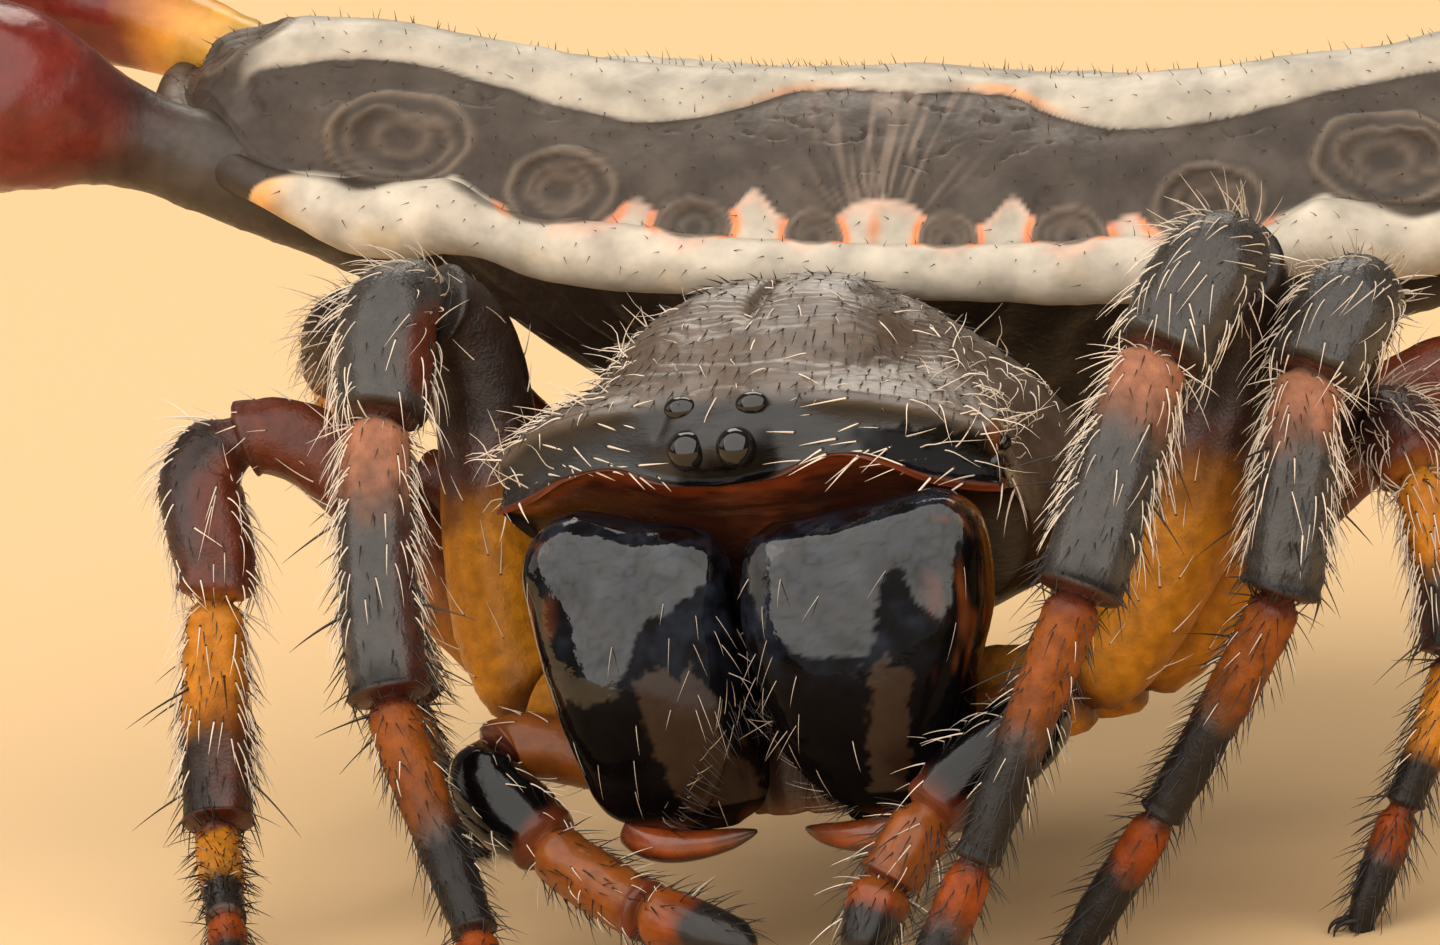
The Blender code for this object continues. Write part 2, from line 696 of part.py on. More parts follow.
def nearest_turn(x, y):
    wanted = math.atan2(x, ABDOMEN_MIDDLE_Y - y)
    best = None
    for k in range(240):
        ox, oy, _ = outline_at(k / 240)
        off = abs(math.remainder(math.atan2(ox, ABDOMEN_MIDDLE_Y - oy) - wanted, 2 * math.pi))
        if best is None or off < best[0]:
            best = (off, k / 240)
    return best[1]


def sigillum_rings(x, y, radius):
    """A low button whose axis follows the surface below it."""
    step = 0.1
    z = shield_height(x, y)
    slope_x = (shield_height(x + step, y) - shield_height(x - step, y)) / (2 * step)
    slope_y = (shield_height(x, y + step) - shield_height(x, y - step)) / (2 * step)
    normal = Vector((-slope_x, -slope_y, 1)).normalized()
    across = Vector((1, 0, slope_x)).normalized()
    along = normal.cross(across)
    centre = Vector((x, y, z))
    rings = []
    for size, height in ((0.9, -0.22), (1.0, 0.0), (0.72, SIGILLUM_RISE)):
        ring = []
        for i in range(SIGILLUM_SIDES):
            a = 2 * math.pi * i / SIGILLUM_SIDES
            ring.append(
                centre + (across * math.cos(a) + along * math.sin(a)) * radius * size + normal * height
            )
        rings.append(ring)
    return rings


def build_abdomen(mats):
    shield = make_object("abdomen", *two_skins(*shield_grids()), mats["cream"], ABDOMEN_PLACE)
    pieces = []
    for name, root, tip, radius, bend in SPINES:
        for sign in (1, -1):
            rings = spine_rings(root, tip, radius, bend, sign)
            pieces.append(make_object(f"spine_{name}", *loft(rings), mats["cream"], ABDOMEN_PLACE))
    for x, y, radius in SIGILLA:
        for sign in (1, -1):
            rings = sigillum_rings(x * sign, y, radius)
            pieces.append(make_object("sigillum", *loft(rings), mats["cream"], ABDOMEN_PLACE))
    boolean(shield, pieces, "UNION")
    make_object("belly", *two_skins(*belly_grids()), mats["belly"], ABDOMEN_PLACE)


SPINNERET_LEVELS = (
    (-2.17, 3.00, 0.52, 0.52), (-2.42, 3.02, 0.46, 0.46), (-2.62, 3.05, 0.30, 0.32),
    (-2.78, 3.08, 0.14, 0.16),
)


def build_spinnerets(mats):
    rings = slab_rings(SPINNERET_LEVELS, 12, 0.9)
    make_object("spinnerets", *loft(rings), mats["dark"], ABDOMEN_PLACE)


def settle():
    """Puts the middle of the animal's box over the origin and turns millimetres into metres."""
    bpy.context.view_layer.update()
    meshes = [o for o in bpy.context.scene.objects if o.type == "MESH"]
    points = [v.co for o in meshes for v in o.data.vertices]
    middle = [(max(p[k] for p in points) + min(p[k] for p in points)) / 2 for k in (0, 1)]
    move = Matrix.Translation((-middle[0], -middle[1], 0))
    for obj in meshes:
        obj.data.transform(Matrix.Scale(MM, 4) @ move)


def main():
    clear_scene()
    black = material("black_shell", BLACK_SHELL, 0.35)
    glossy = material("glossy_black", GLOSSY_BLACK, 0.12)
    orange = material("orange_leg", ORANGE, 0.35)
    dark = material("dark_brown", DARK_BROWN, 0.5)
    eye = material("eye_black", EYE_BLACK, 0.05)
    fang = material("fang_brown", FANG_BROWN, 0.2)
    cream = material("cream_shield", CREAM, 0.4)
    belly = material("belly_black", BELLY_BLACK, 0.5)
    carapace = build_carapace(black)
    build_eyes(carapace, eye, black)
    build_chelicerae(glossy, fang)
    build_underside({"dark": dark})
    build_abdomen({"cream": cream, "belly": belly})
    build_spinnerets({"dark": dark})
    leg_mats = {"femur": orange, "patella": black, "tibia": black, "foot": orange}
    for name, joints in LEG_JOINTS.items():
        build_leg(name, joints, leg_mats)
    for name, joints in PALP_JOINTS.items():
        build_palp(name, joints, {"femur": orange, "tip": dark})
    settle()


main()
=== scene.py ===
import math

import bpy
import numpy as np
from mathutils import Matrix, Vector


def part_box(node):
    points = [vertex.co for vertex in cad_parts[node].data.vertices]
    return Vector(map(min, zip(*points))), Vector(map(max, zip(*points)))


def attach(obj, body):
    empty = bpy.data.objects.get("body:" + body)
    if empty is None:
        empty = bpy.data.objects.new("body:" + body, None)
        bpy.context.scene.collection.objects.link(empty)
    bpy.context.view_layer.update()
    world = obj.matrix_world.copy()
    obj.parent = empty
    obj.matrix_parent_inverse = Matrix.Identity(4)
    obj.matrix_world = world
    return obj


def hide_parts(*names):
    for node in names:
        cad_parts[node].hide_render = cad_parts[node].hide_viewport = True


# Looks of a spiny orb weaver. Shapes are worked out in millimetres, in the frame in which the
# solids were modelled, and to_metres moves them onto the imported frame.
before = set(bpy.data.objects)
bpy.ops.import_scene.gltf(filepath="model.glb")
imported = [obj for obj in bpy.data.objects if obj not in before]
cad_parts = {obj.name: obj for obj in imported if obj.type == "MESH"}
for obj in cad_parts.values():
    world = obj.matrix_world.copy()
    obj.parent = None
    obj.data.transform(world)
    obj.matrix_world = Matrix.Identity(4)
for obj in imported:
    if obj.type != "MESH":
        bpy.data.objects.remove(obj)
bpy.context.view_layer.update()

MM = 0.001
PAINT = "Paint"
SHINE = "Shine"
BAKE_MAP = "OFBake"
SIDES = (("left", 1), ("right", -1))


# Numbers and small formulas
def smooth(low, high, x):
    t = np.clip((np.asarray(x, float) - low) / (high - low), 0.0, 1.0)
    return t * t * (3 - 2 * t)


def hill(x, width):
    return np.exp(-((np.asarray(x, float) / width) ** 2))


def mix(a, b, t):
    return a + (b - a) * t


def read(table, x):
    """Values at x of a smooth curve through a table of (x, value) pairs."""
    xs = np.array([p[0] for p in table], float)
    ys = np.array([p[1] for p in table], float)
    before = np.maximum(np.arange(len(xs)) - 1, 0)
    after = np.minimum(np.arange(len(xs)) + 1, len(xs) - 1)
    slopes = (ys[after] - ys[before]) / (xs[after] - xs[before])
    x = np.clip(np.asarray(x, float), xs[0], xs[-1])
    k = np.clip(np.searchsorted(xs, x, side="right") - 1, 0, len(xs) - 2)
    w = xs[k + 1] - xs[k]
    t = (x - xs[k]) / w
    return (
        ys[k] * (1 + 2 * t) * (1 - t) ** 2
        + slopes[k] * w * t * (1 - t) ** 2
        + ys[k + 1] * t * t * (3 - 2 * t)
        + slopes[k + 1] * w * t * t * (t - 1)
    )


def noise(points, size, seed=0):
    """A smooth random value from -1 to 1 at each point, in lumps about size across."""
    q = np.asarray(points, float) / size
    cell = np.floor(q).astype(np.int64)
    f = q - cell
    f = f * f * (3 - 2 * f)
    total = np.zeros(q.shape[:-1])
    for corner in range(8):
        d = np.array([(corner >> k) & 1 for k in range(3)])
        h = (cell + d) @ np.array([73856093, 19349663, 83492791]) + seed * 9176263
        h = (h ^ (h >> 13)) * 1274126177 & 0xFFFFFFFF
        h = (h ^ (h >> 16)) & 0xFFFF
        total += np.prod(np.where(d, f, 1 - f), axis=-1) * (h / 32767.5 - 1)
    return total


def rough_noise(points, size, seed=0):
    return (
        noise(points, size, seed)
        + 0.5 * noise(points, size / 2, seed + 1)
        + 0.25 * noise(points, size / 4, seed + 2)
    ) / 1.75


def signed_power(x, power):
    return np.copysign(abs(x) ** power, x)


def mirrored(point, sign):
    """A point of the left side, or its counterpart on the right where sign is -1."""
    return np.array((point[0] * sign, point[1], point[2]))


def unit(v):
    return v / np.maximum(np.linalg.norm(v, axis=-1, keepdims=True), 1e-12)


def shift_matrix(x, y, z):
    m = np.eye(4)
    m[:3, 3] = (x, y, z)
    return m


def turn_matrix(axis, degrees):
    return np.array(Matrix.Rotation(math.radians(degrees), 4, axis))


def apply(matrix, points):
    return np.asarray(points, float) @ matrix[:3, :3].T + matrix[:3, 3]


EYE_HEIGHT = 3.70
HEAD = shift_matrix(0, 0, EYE_HEIGHT) @ turn_matrix("Y", -3.0) @ shift_matrix(0, 0, -EYE_HEIGHT)
ABDOMEN = shift_matrix(0.17, 2.63, 4.10) @ turn_matrix("Z", 12.0) @ turn_matrix("Y", 5.0)

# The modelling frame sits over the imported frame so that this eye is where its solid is.
MARKER_EYE = (0.195, 0.03, 3.70)
low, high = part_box("eye_front_median_left")
SHIFT = np.array((low + high) / 2) / MM - apply(HEAD, [MARKER_EYE])[0]
SHIFT[2] = 0.0


def to_metres(points):
    return (np.asarray(points, float) + SHIFT) * MM


# Colours, as linear red, green and blue, with the roughness of the surface as a fourth value
SLATE = (0.037, 0.032, 0.029, 0.30)
INK = (0.013, 0.010, 0.009, 0.34)
# Warm brown over the black top of the carapace: painted sheen
SHELL_SHEEN_BROWN = (0.085, 0.057, 0.039, 0.36)
GLOSS_BLACK = (0.0025, 0.002, 0.0025, 0.05)
RUST = (0.10, 0.020, 0.008, 0.34)
RED_BROWN = (0.060, 0.013, 0.007, 0.34)
DARK_BROWN = (0.018, 0.009, 0.006, 0.36)
PEACH = (0.30, 0.125, 0.070, 0.42)
ORANGE = (0.21, 0.055, 0.007, 0.38)
BRIGHT_ORANGE = (0.46, 0.17, 0.014, 0.34)
RED_ORANGE = (0.21, 0.040, 0.005, 0.36)
AMBER = (0.42, 0.16, 0.010, 0.32)
DARK_AMBER = (0.16, 0.055, 0.012, 0.32)
CREAM = (0.48, 0.42, 0.34, 0.45)
SPINE_RED = (0.15, 0.016, 0.009, 0.30)
# Red of the clypeus: its own colour, brightened as painted light for the shade of the overhang
CLYPEUS_RED_LIT = (0.17, 0.034, 0.010, 0.18)
UNDER_BROWN = (0.035, 0.014, 0.008, 0.42)
PALE_HAIR = (0.72, 0.60, 0.48, 0.35)
DULL_HAIR = (0.42, 0.34, 0.27, 0.35)
DARK_HAIR = (0.016, 0.011, 0.009, 0.30)
DOWN_HAIR = (0.10, 0.06, 0.04, 0.4)
SOCKET = (0.020, 0.008, 0.005, 0.40)
FACE_BLACK = (0.016, 0.015, 0.016, 0.32)
CORNER_AMBER = (0.24, 0.075, 0.016, 0.25)
LIP_RED = (0.13, 0.028, 0.010, 0.22)
CLYPEUS_DARK = (0.055, 0.014, 0.007, 0.16)
# Warm middle of the clypeus, brightened the same way: partly painted light
CLYPEUS_WARM_LIT = (0.20, 0.050, 0.016, 0.18)
CLYPEUS_STREAK = (0.016, 0.007, 0.005, 0.25)
JAW_FLANK = (0.15, 0.038, 0.010, 0.12)
JAW_AMBER = (0.22, 0.085, 0.014, 0.14)
JAW_TIP = (0.10, 0.026, 0.010, 0.2)
JAW_FURROW = (0.005, 0.003, 0.002, 0.35)
# Blue-grey over the upper part of each chelicera: painted sheen
JAW_BLUE_SHEEN = (0.013, 0.017, 0.027, 0.07)
# Brown of a patch low on each chelicera: a painted reflection of the floor
JAW_FLOOR_REFLECTION = (0.020, 0.010, 0.006, 0.22)
KNEE_EDGE = (0.12, 0.062, 0.045, 0.40)
LEG_MAROON = (0.034, 0.011, 0.011, 0.34)
FANG_RED = (0.22, 0.045, 0.010, 0.2)
FANG_RIDGE = (0.05, 0.012, 0.006, 0.12)
STERNUM_SPOT = (0.20, 0.10, 0.04, 0.4)
DARK_BAND = (0.046, 0.032, 0.023, 0.48)
WORN_BAND = (0.085, 0.064, 0.050, 0.40)
FAN_BROWN = (0.16, 0.115, 0.085, 0.42)
# The cream of the white bands, darker for the second band: painted shade
SHADED_SECOND_CREAM = (0.40, 0.35, 0.28, 0.45)
# Pale brown on the raised rings of the scars: painted highlights
RING_HIGHLIGHT_BROWN = (0.17, 0.125, 0.090, 0.45)
# Ochre for blotches towards the bottom of the front white roll
LOW_ROLL_OCHRE = (0.62, 0.47, 0.26, 0.42)
HALO_ORANGE = (0.78, 0.20, 0.035, 0.35)
MIDDLE_ORANGE = (0.62, 0.20, 0.06, 0.35)
TOOTH_PINK = (0.70, 0.30, 0.20, 0.38)
EDGE_ORANGE = (0.72, 0.27, 0.06, 0.35)
END_ORANGE = (0.80, 0.38, 0.08, 0.35)
BELLY_BROWN = (0.030, 0.020, 0.016, 0.45)
BELLY_SPOT = (0.50, 0.38, 0.22, 0.45)
SPINE_ROOT = (0.045, 0.017, 0.013, 0.34)
SPINE_GOLD = (0.62, 0.34, 0.05, 0.34)
SPINE_ORANGE = (0.60, 0.22, 0.03, 0.30)
SPINE_DARK_RED = (0.10, 0.008, 0.006, 0.28)
SPINE_END = (0.10, 0.006, 0.004, 0.22)


def ramp(stops, x):
    """Colours at x between (place, colour) stops."""
    places = [s[0] for s in stops]
    table = np.array([s[1] for s in stops], float)
    return np.stack([np.interp(x, places, table[:, k]) for k in range(4)], axis=-1)


def blend_paint(paint, colour, amount):
    amount = np.asarray(amount)[..., None]
    return paint * (1 - amount) + np.asarray(colour, float) * amount


def layered(points, base, *layers):
    """Paint of one base colour under layers of (colour, amount)."""
    paint = np.broadcast_to(np.array(base), points.shape[:-1] + (4,)).copy()
    for colour, amount in layers:
        paint = blend_paint(paint, colour, amount)
    return paint


def inside_out(points):
    """Whether the walls of a closed grid face its middle line."""
    here, beside, next_row = points[:-1], np.roll(points, -1, axis=1)[:-1], points[1:]
    facing = np.cross(beside - here, next_row - here)
    return ((here - here.mean(axis=1, keepdims=True)) * facing).sum() < 0


def unit_rings(side, up, count):
    """Rings of count points, one unit round, in the planes of side and up."""
    a = np.linspace(0, 2 * np.pi, count, endpoint=False)[:, None]
    return side[..., None, :] * np.cos(a) + up[..., None, :] * np.sin(a)


def tube_faces(rows, sides):
    """Indices of the points of a tube in rows, and its faces."""
    grid = np.arange(rows * sides).reshape(rows, sides)
    after = np.roll(grid, -1, axis=1)
    return grid, np.stack([grid[:-1], after[:-1], after[1:], grid[1:]], axis=-1).reshape(-1, 4)


def level_tables(levels):
    """A rising (height, value) table for each column of levels that are given top first."""
    rising = levels[::-1]
    return [[(level[0], level[k]) for level in rising] for k in range(1, len(rising[0]))]


# Skins: grids of points with a colour, a place on an unwrap and a direction of growth
class Skin:
    def __init__(self):
        self.points, self.quads, self.paint, self.uv, self.flow = [], [], [], [], []
        self.count = 0

    def add(self, points, paint, uv_box=(0.02, 0.02, 0.98, 0.98), closed=False, caps=False):
        """Adds a grid of rows and columns. Rows run the way that hair grows."""
        rows, columns = points.shape[:2]
        paint = np.broadcast_to(paint, (rows, columns, 4))
        if caps and inside_out(points):
            points, paint = points[:, ::-1], paint[:, ::-1]
        index = self.count + np.arange(rows * columns).reshape(rows, columns)
        left = index if closed else index[:, :-1]
        right = np.roll(index, -1, axis=1) if closed else index[:, 1:]
        quads = np.stack([left[:-1], right[:-1], right[1:], left[1:]], axis=-1).reshape(-1, 4)
        v, u = np.meshgrid(np.linspace(0, 1, rows), np.linspace(0, 1, columns), indexing="ij")
        u0, v0, u1, v1 = uv_box
        self.points.append(points.reshape(-1, 3))
        self.quads.append(quads)
        self.paint.append(paint.reshape(-1, 4))
        self.uv.append(np.stack([mix(u0, u1, u), mix(v0, v1, v)], axis=-1).reshape(-1, 2))
        self.flow.append(unit(np.gradient(points, axis=0)).reshape(-1, 3))
        self.count += rows * columns
        if caps:
            self.cap(index[0][::-1], points[0], self.paint[-1][0])
            self.cap(index[-1], points[-1], self.paint[-1][-1])

    def cap(self, ring, points, paint):
        """Closes a ring of points with a fan, as quads whose last two corners are one."""
        middle = self.count
        self.points.append(points.mean(axis=0)[None])
        self.paint.append(np.asarray(paint)[None])
        self.uv.append(np.full((1, 2), 0.99))
        self.flow.append(np.zeros((1, 3)))
        self.count += 1
        after = np.roll(ring, -1)
        self.quads.append(np.stack([ring, after, np.full(len(ring), middle), ring * 0 - 1], -1))

    def arrays(self):
        join = np.concatenate
        return join(self.points), join(self.quads), join(self.paint), join(self.uv), join(self.flow)


def mesh_object(name, points, quads, paint, mat, uv):
    """A mesh from points in mm and faces of four corners, or of three where the last is -1."""
    mesh = bpy.data.meshes.new(name)
    three = quads[:, 3] < 0
    size = np.where(three, 3, 4)
    corners = quads.ravel()[quads.ravel() >= 0]
    mesh.vertices.add(len(points))
    mesh.vertices.foreach_set("co", to_metres(points).astype(np.float32).ravel())
    mesh.loops.add(len(corners))
    mesh.loops.foreach_set("vertex_index", corners.astype(np.int32))
    mesh.polygons.add(len(quads))
    starts = np.concatenate([[0], np.cumsum(size)[:-1]]).astype(np.int32)
    mesh.polygons.foreach_set("loop_start", starts)
    mesh.update(calc_edges=True)
    mesh.validate()
    colours = mesh.color_attributes.new(PAINT, "FLOAT_COLOR", "POINT")
    colours.data.foreach_set("color", paint.astype(np.float32).ravel())
    layer = mesh.uv_layers.new(name=BAKE_MAP)
    layer.uv.foreach_set("vector", uv[corners].astype(np.float32).ravel())
    mesh.shade_smooth()
    mesh.materials.append(mat)
    obj = bpy.data.objects.new(name, mesh)
    bpy.context.scene.collection.objects.link(obj)
    return obj


def add_shine(obj, values):
    layer = obj.data.attributes.new(SHINE, "FLOAT", "POINT")
    layer.data.foreach_set("value", values.astype(np.float32))


def add_dark_shine(obj, skin):
    """Lets the dark parts of a skin shine more than the bright ones."""
    red = skin.arrays()[2][:, 0]
    add_shine(obj, mix(mix(0.25, 0.48, smooth(0.015, 0.035, red)), 0.16, smooth(0.05, 0.16, red)))


def finish_piece(obj, slot, *nodes):
    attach(obj, "root")
    if nodes:
        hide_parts(*nodes)
    return obj


def skin_object(name, skin, mat, slot, *nodes):
    points, quads, paint, uv, _ = skin.arrays()
    return finish_piece(mesh_object(name, points, quads, paint, mat, uv), slot, *nodes)


def closed_piece(name, points, paint, look, slot, *nodes):
    """A closed skin with capped ends, as a piece. Gives the skin and the piece."""
    skin = Skin()
    skin.add(points, paint, closed=True, caps=True)
    return skin, skin_object(name, skin, MATS[look], slot, *nodes)


def grid_normals(points, flip=False):
    along_rows = np.gradient(points, axis=0)
    along_columns = np.gradient(points, axis=1)
    normals = unit(np.cross(along_columns, along_rows))
    return -normals if flip else normals


# Materials
# Shine of the clear coat, and colours and depth in mm of the light scattered below the surface
COAT_ROUGHNESS = 0.08
SUBSURFACE_RADIUS = (1.0, 0.35, 0.15)
SUBSURFACE_DEPTH = 0.12
GRAIN_DETAIL = 3.0
# From and to which values the grain tints the colour and scales the roughness
TINT_RANGE = {"From Min": 0.3, "From Max": 0.7, "To Min": 0.72, "To Max": 1.25}
WEAR_RANGE = {"From Min": 0.35, "From Max": 0.65, "To Min": 0.85, "To Max": 1.2}
LENS_DEEP = (0.002, 0.002, 0.003, 1)
LENS_RIM = (0.018, 0.012, 0.010, 1)


def set_sockets(node, values):
    for socket, value in values.items():
        node.inputs[socket].default_value = value


def link_sockets(tree, node, sources):
    """Links each named socket of a node to the output given for it."""
    for socket, output in sources.items():
        tree.links.new(output, node.inputs[socket])


def add_node(tree, kind, values, sources):
    node = tree.nodes.new(kind)
    set_sockets(node, values)
    link_sockets(tree, node, sources)
    return node


def new_material(name, values):
    """A material, its node tree and its shader with these values on its sockets."""
    mat = bpy.data.materials.new(name)
    mat.use_nodes = True
    shader = mat.node_tree.nodes["Principled BSDF"]
    set_sockets(shader, values)
    return mat, mat.node_tree, shader


def paint_outputs(tree):
    """The colour and the roughness that a mesh carries."""
    paint = tree.nodes.new("ShaderNodeVertexColor")
    paint.layer_name = PAINT
    return paint.outputs["Color"], paint.outputs["Alpha"]


def painted_material(name, fine, lumps, coat=0.0, subsurface=0.0, specular=0.5, stretch=(1, 1, 1),
                     wear_and_reflection=False):
    """A shell whose colour and roughness come from its paint, with grain of two sizes.

    fine and lumps are (size in mm, height in mm) of the bumps. With wear_and_reflection set, the mesh
    also says how strongly each place shines.
    """
    mat, tree, shader = new_material(name, {
        "Specular IOR Level": specular,
        "Coat Weight": coat,
        "Coat Roughness": COAT_ROUGHNESS,
        "Subsurface Weight": subsurface,
        "Subsurface Radius": SUBSURFACE_RADIUS,
        "Subsurface Scale": SUBSURFACE_DEPTH * MM,
    })
    if wear_and_reflection:
        shine = tree.nodes.new("ShaderNodeAttribute")
        shine.attribute_name = SHINE
        link_sockets(tree, shader, {"Specular IOR Level": shine.outputs["Fac"]})
    coords = tree.nodes.new("ShaderNodeTexCoord")
    spread = add_node(tree, "ShaderNodeMapping", {"Scale": stretch}, {"Vector": coords.outputs["Object"]})
    colour, roughness = paint_outputs(tree)
    grain = []
    for size, _ in (fine, lumps):
        values = {"Scale": 1 / (size * MM), "Detail": GRAIN_DETAIL}
        texture = add_node(tree, "ShaderNodeTexNoise", values, {"Vector": spread.outputs["Vector"]})
        grain.append(texture.outputs["Fac"])
    shade = add_node(tree, "ShaderNodeMapRange", TINT_RANGE, {"Value": grain[1]})
    tint = tree.nodes.new("ShaderNodeVectorMath")
    tint.operation = "SCALE"
    link_sockets(tree, tint, {"Vector": colour, "Scale": shade.outputs["Result"]})
    wear = add_node(tree, "ShaderNodeMapRange", WEAR_RANGE, {"Value": grain[0]})
    gloss = tree.nodes.new("ShaderNodeMath")
    gloss.operation = "MULTIPLY"
    link_sockets(tree, gloss, {0: roughness, 1: wear.outputs["Result"]})
    link_sockets(tree, shader, {"Base Color": tint.outputs["Vector"], "Roughness": gloss.outputs["Value"]})
    below = {}
    for (_, height), relief in zip((fine, lumps), grain):
        values = {"Strength": 1.0, "Distance": height * MM}
        bump = add_node(tree, "ShaderNodeBump", values, {"Height": relief, **below})
        below = {"Normal": bump.outputs["Normal"]}
    link_sockets(tree, shader, below)
    return mat


def hair_material():
    mat, tree, shader = new_material("bristle", {})
    colour, roughness = paint_outputs(tree)
    link_sockets(tree, shader, {"Base Color": colour, "Roughness": roughness})
    return mat


def eye_material():
    mat, tree, shader = new_material("eye_lens", {"Roughness": 0.04, "Specular IOR Level": 0.6})
    facing = add_node(tree, "ShaderNodeLayerWeight", {"Blend": 0.35}, {})
    depth = add_node(tree, "ShaderNodeValToRGB", {}, {"Fac": facing.outputs["Facing"]})
    depth.color_ramp.elements[0].color = LENS_DEEP
    depth.color_ramp.elements[1].color = LENS_RIM
    link_sockets(tree, shader, {"Base Color": depth.outputs["Color"]})
    return mat


MATS = {
    "carapace": painted_material(
        "carapace_shell", (0.035, 0.0035), (0.16, 0.006), stretch=(0.5, 1, 1.6), wear_and_reflection=True
    ),
    "chelicera": painted_material("chelicera_shell", (0.05, 0.0009), (0.20, 0.005), wear_and_reflection=True),
    "leg": painted_material("leg_skin", (0.024, 0.0070), (0.11, 0.010), subsurface=0.10, wear_and_reflection=True),
    "palp": painted_material(
        "palp_skin", (0.030, 0.0020), (0.15, 0.004), coat=0.25, specular=0.25, subsurface=0.10
    ),
    "shield": painted_material(
        "shield_shell", (0.05, 0.0030), (0.30, 0.008), specular=0.3, subsurface=0.08
    ),
    "spine": painted_material("spine_shell", (0.06, 0.0025), (0.25, 0.008), coat=0.08, specular=0.45),
    "belly": painted_material("belly_skin", (0.05, 0.008), (0.22, 0.020)),
    "under": painted_material("dark_underside", (0.04, 0.004), (0.2, 0.010)),
    "fang": painted_material("fang_shell", (0.04, 0.0010), (0.15, 0.003), coat=0.3, subsurface=0.1),
    "hair": hair_material(),
    "eye": eye_material(),
}


# The carapace: half width, crown height, edge height and underside along its length, in mm
CARAPACE_REAR_Y = 3.45
CARAPACE_HALF_WIDTH = (
    (0.0, 1.70), (0.5, 1.85), (1.0, 1.80), (1.6, 1.72), (2.2, 1.84), (2.9, 1.65),
    (CARAPACE_REAR_Y, 1.0),
)
CARAPACE_CROWN = (
    (0.10, 3.46), (0.30, 3.98), (0.60, 4.23), (0.95, 4.45), (1.30, 4.54),
    (1.70, 4.51), (2.10, 4.26), (2.50, 3.86), (2.90, 3.36), (CARAPACE_REAR_Y, 2.62),
)
CARAPACE_EDGE = ((0.0, 3.40), (0.5, 3.30), (1.0, 2.95), (2.0, 2.75), (3.45, 2.46))
CARAPACE_UNDER = (
    (0.10, 3.40), (0.20, 3.30), (0.26, 3.18), (0.34, 3.04), (0.60, 2.90), (0.80, 2.20),
    (2.6, 2.20), (3.45, 2.40),
)
# The lip: where it lies in the middle, and how far it sweeps back to the sides
LIP_Y = 0.10
LIP_SWEEP = 0.42
# Half the width of the head at its front, where its lip line ends
HEAD_HALF_WIDTH = 1.85
# The long groove in the middle of the top, and the rear median eyes, which the relief surrounds
GROOVE_X = 0.03
REAR_EYE_X = 0.262
# Distance between the fine ridges of the face
STRIA_STEP = 0.062
# Share of the rows on the strip behind the lip, and that strip's share of the length
DENSE_ROWS = 0.16
FRONT_STRIP = 0.03
CARAPACE_ROWS = 230
CARAPACE_COLUMNS = 260
UPPER_MAP = (0.02, 0.40, 0.98, 0.98)
UNDER_MAP = (0.02, 0.02, 0.98, 0.36)
UNDER_SHINE = 0.45
# Height, from the middle to the side, of the step where the steep face meets the top
BENCH_LINE = ((0.0, 3.98), (0.6, 3.96), (1.05, 3.89), (1.45, 3.77), (1.74, 3.60), (1.9, 3.50))
# The angle left open at each pole of an eye, in radians
POLE_GAP = 0.0005
EYE_ROWS = 40
EYE_COLUMNS = 48
# Eyes of the left side: place on the head, radii across, forward and up, and tilt back
EYES = {
    "eye_front_median": ((0.180, 0.085, 3.690), (0.142, 0.142, 0.142), 0.0),
    "eye_rear_median": ((0.262, 0.250, 3.952), (0.116, 0.066, 0.084), 38.0),
    "eye_front_lateral": ((1.777, 0.637, 3.362), (0.064, 0.064, 0.064), 0.0),
    "eye_rear_lateral": ((1.790, 0.800, 3.460), (0.060, 0.060, 0.060), 0.0),
}
LIP_LINE = (
    (0.0, 3.43), (0.25, 3.47), (0.46, 3.58), (0.66, 3.51), (0.80, 3.38), (0.92, 3.29), (1.0, 3.25),
)


def lip_height(s):
    """Height of the lip at s, from -1 at the right end of the head to 1 at its left end."""
    return read(LIP_LINE, abs(s)) - 0.07 * smooth(0.5, 0.8, s)


def carapace_grid(rows, columns, upper):
    """Points of the upper or lower side, with their place from front to rear and to the side."""
    t = np.linspace(0, 1, rows)[:, None]
    rear_part = ((t - DENSE_ROWS) / (1 - DENSE_ROWS)).clip(0, 1) ** 1.25
    v = np.where(t < DENSE_ROWS, FRONT_STRIP * (t / DENSE_ROWS), mix(FRONT_STRIP, 1.0, rear_part))
    s = np.sin(np.pi * (np.linspace(0, 1, columns) - 0.5))[None, :]
    front = LIP_Y + LIP_SWEEP * abs(s) ** 3
    y = mix(front, CARAPACE_REAR_Y, v)
    x = s * read(CARAPACE_HALF_WIDTH, y)
    edge = read(CARAPACE_EDGE, y)
    middle_y = mix(LIP_Y, CARAPACE_REAR_Y, v) + 0 * s
    boxy = mix(0.36, 0.56, smooth(0.12, 0.30, v))
    swell = np.maximum(0.0, 1 - abs(s) ** 2.2) ** boxy
    lip = lip_height(s) + 0 * v
    if upper:
        crown = read(CARAPACE_CROWN, middle_y)
        z = mix(lip, mix(edge, crown, swell), np.minimum(1.0, v / FRONT_STRIP) + 0 * s)
        mound = hill(x, 0.42) * hill(z - EYE_HEIGHT, 0.22)
        y = y - 0.14 * mound * np.minimum(1.0, v / 0.02)
    else:
        under = read(CARAPACE_UNDER, middle_y)
        deep = mix(edge, under, np.maximum(0.0, 1 - abs(s) ** 4) ** 0.4)
        z = np.where(v < 0.2, mix(lip, deep, np.minimum(1.0, v / 0.2)), deep)
    z = np.where(v == 0, lip, z)
    z = np.where((v == 1) | (abs(s) > 0.99999), np.where(v == 0, lip, edge), z)
    return np.stack(np.broadcast_arrays(x, y, z), axis=-1), v + 0 * s, s + 0 * v


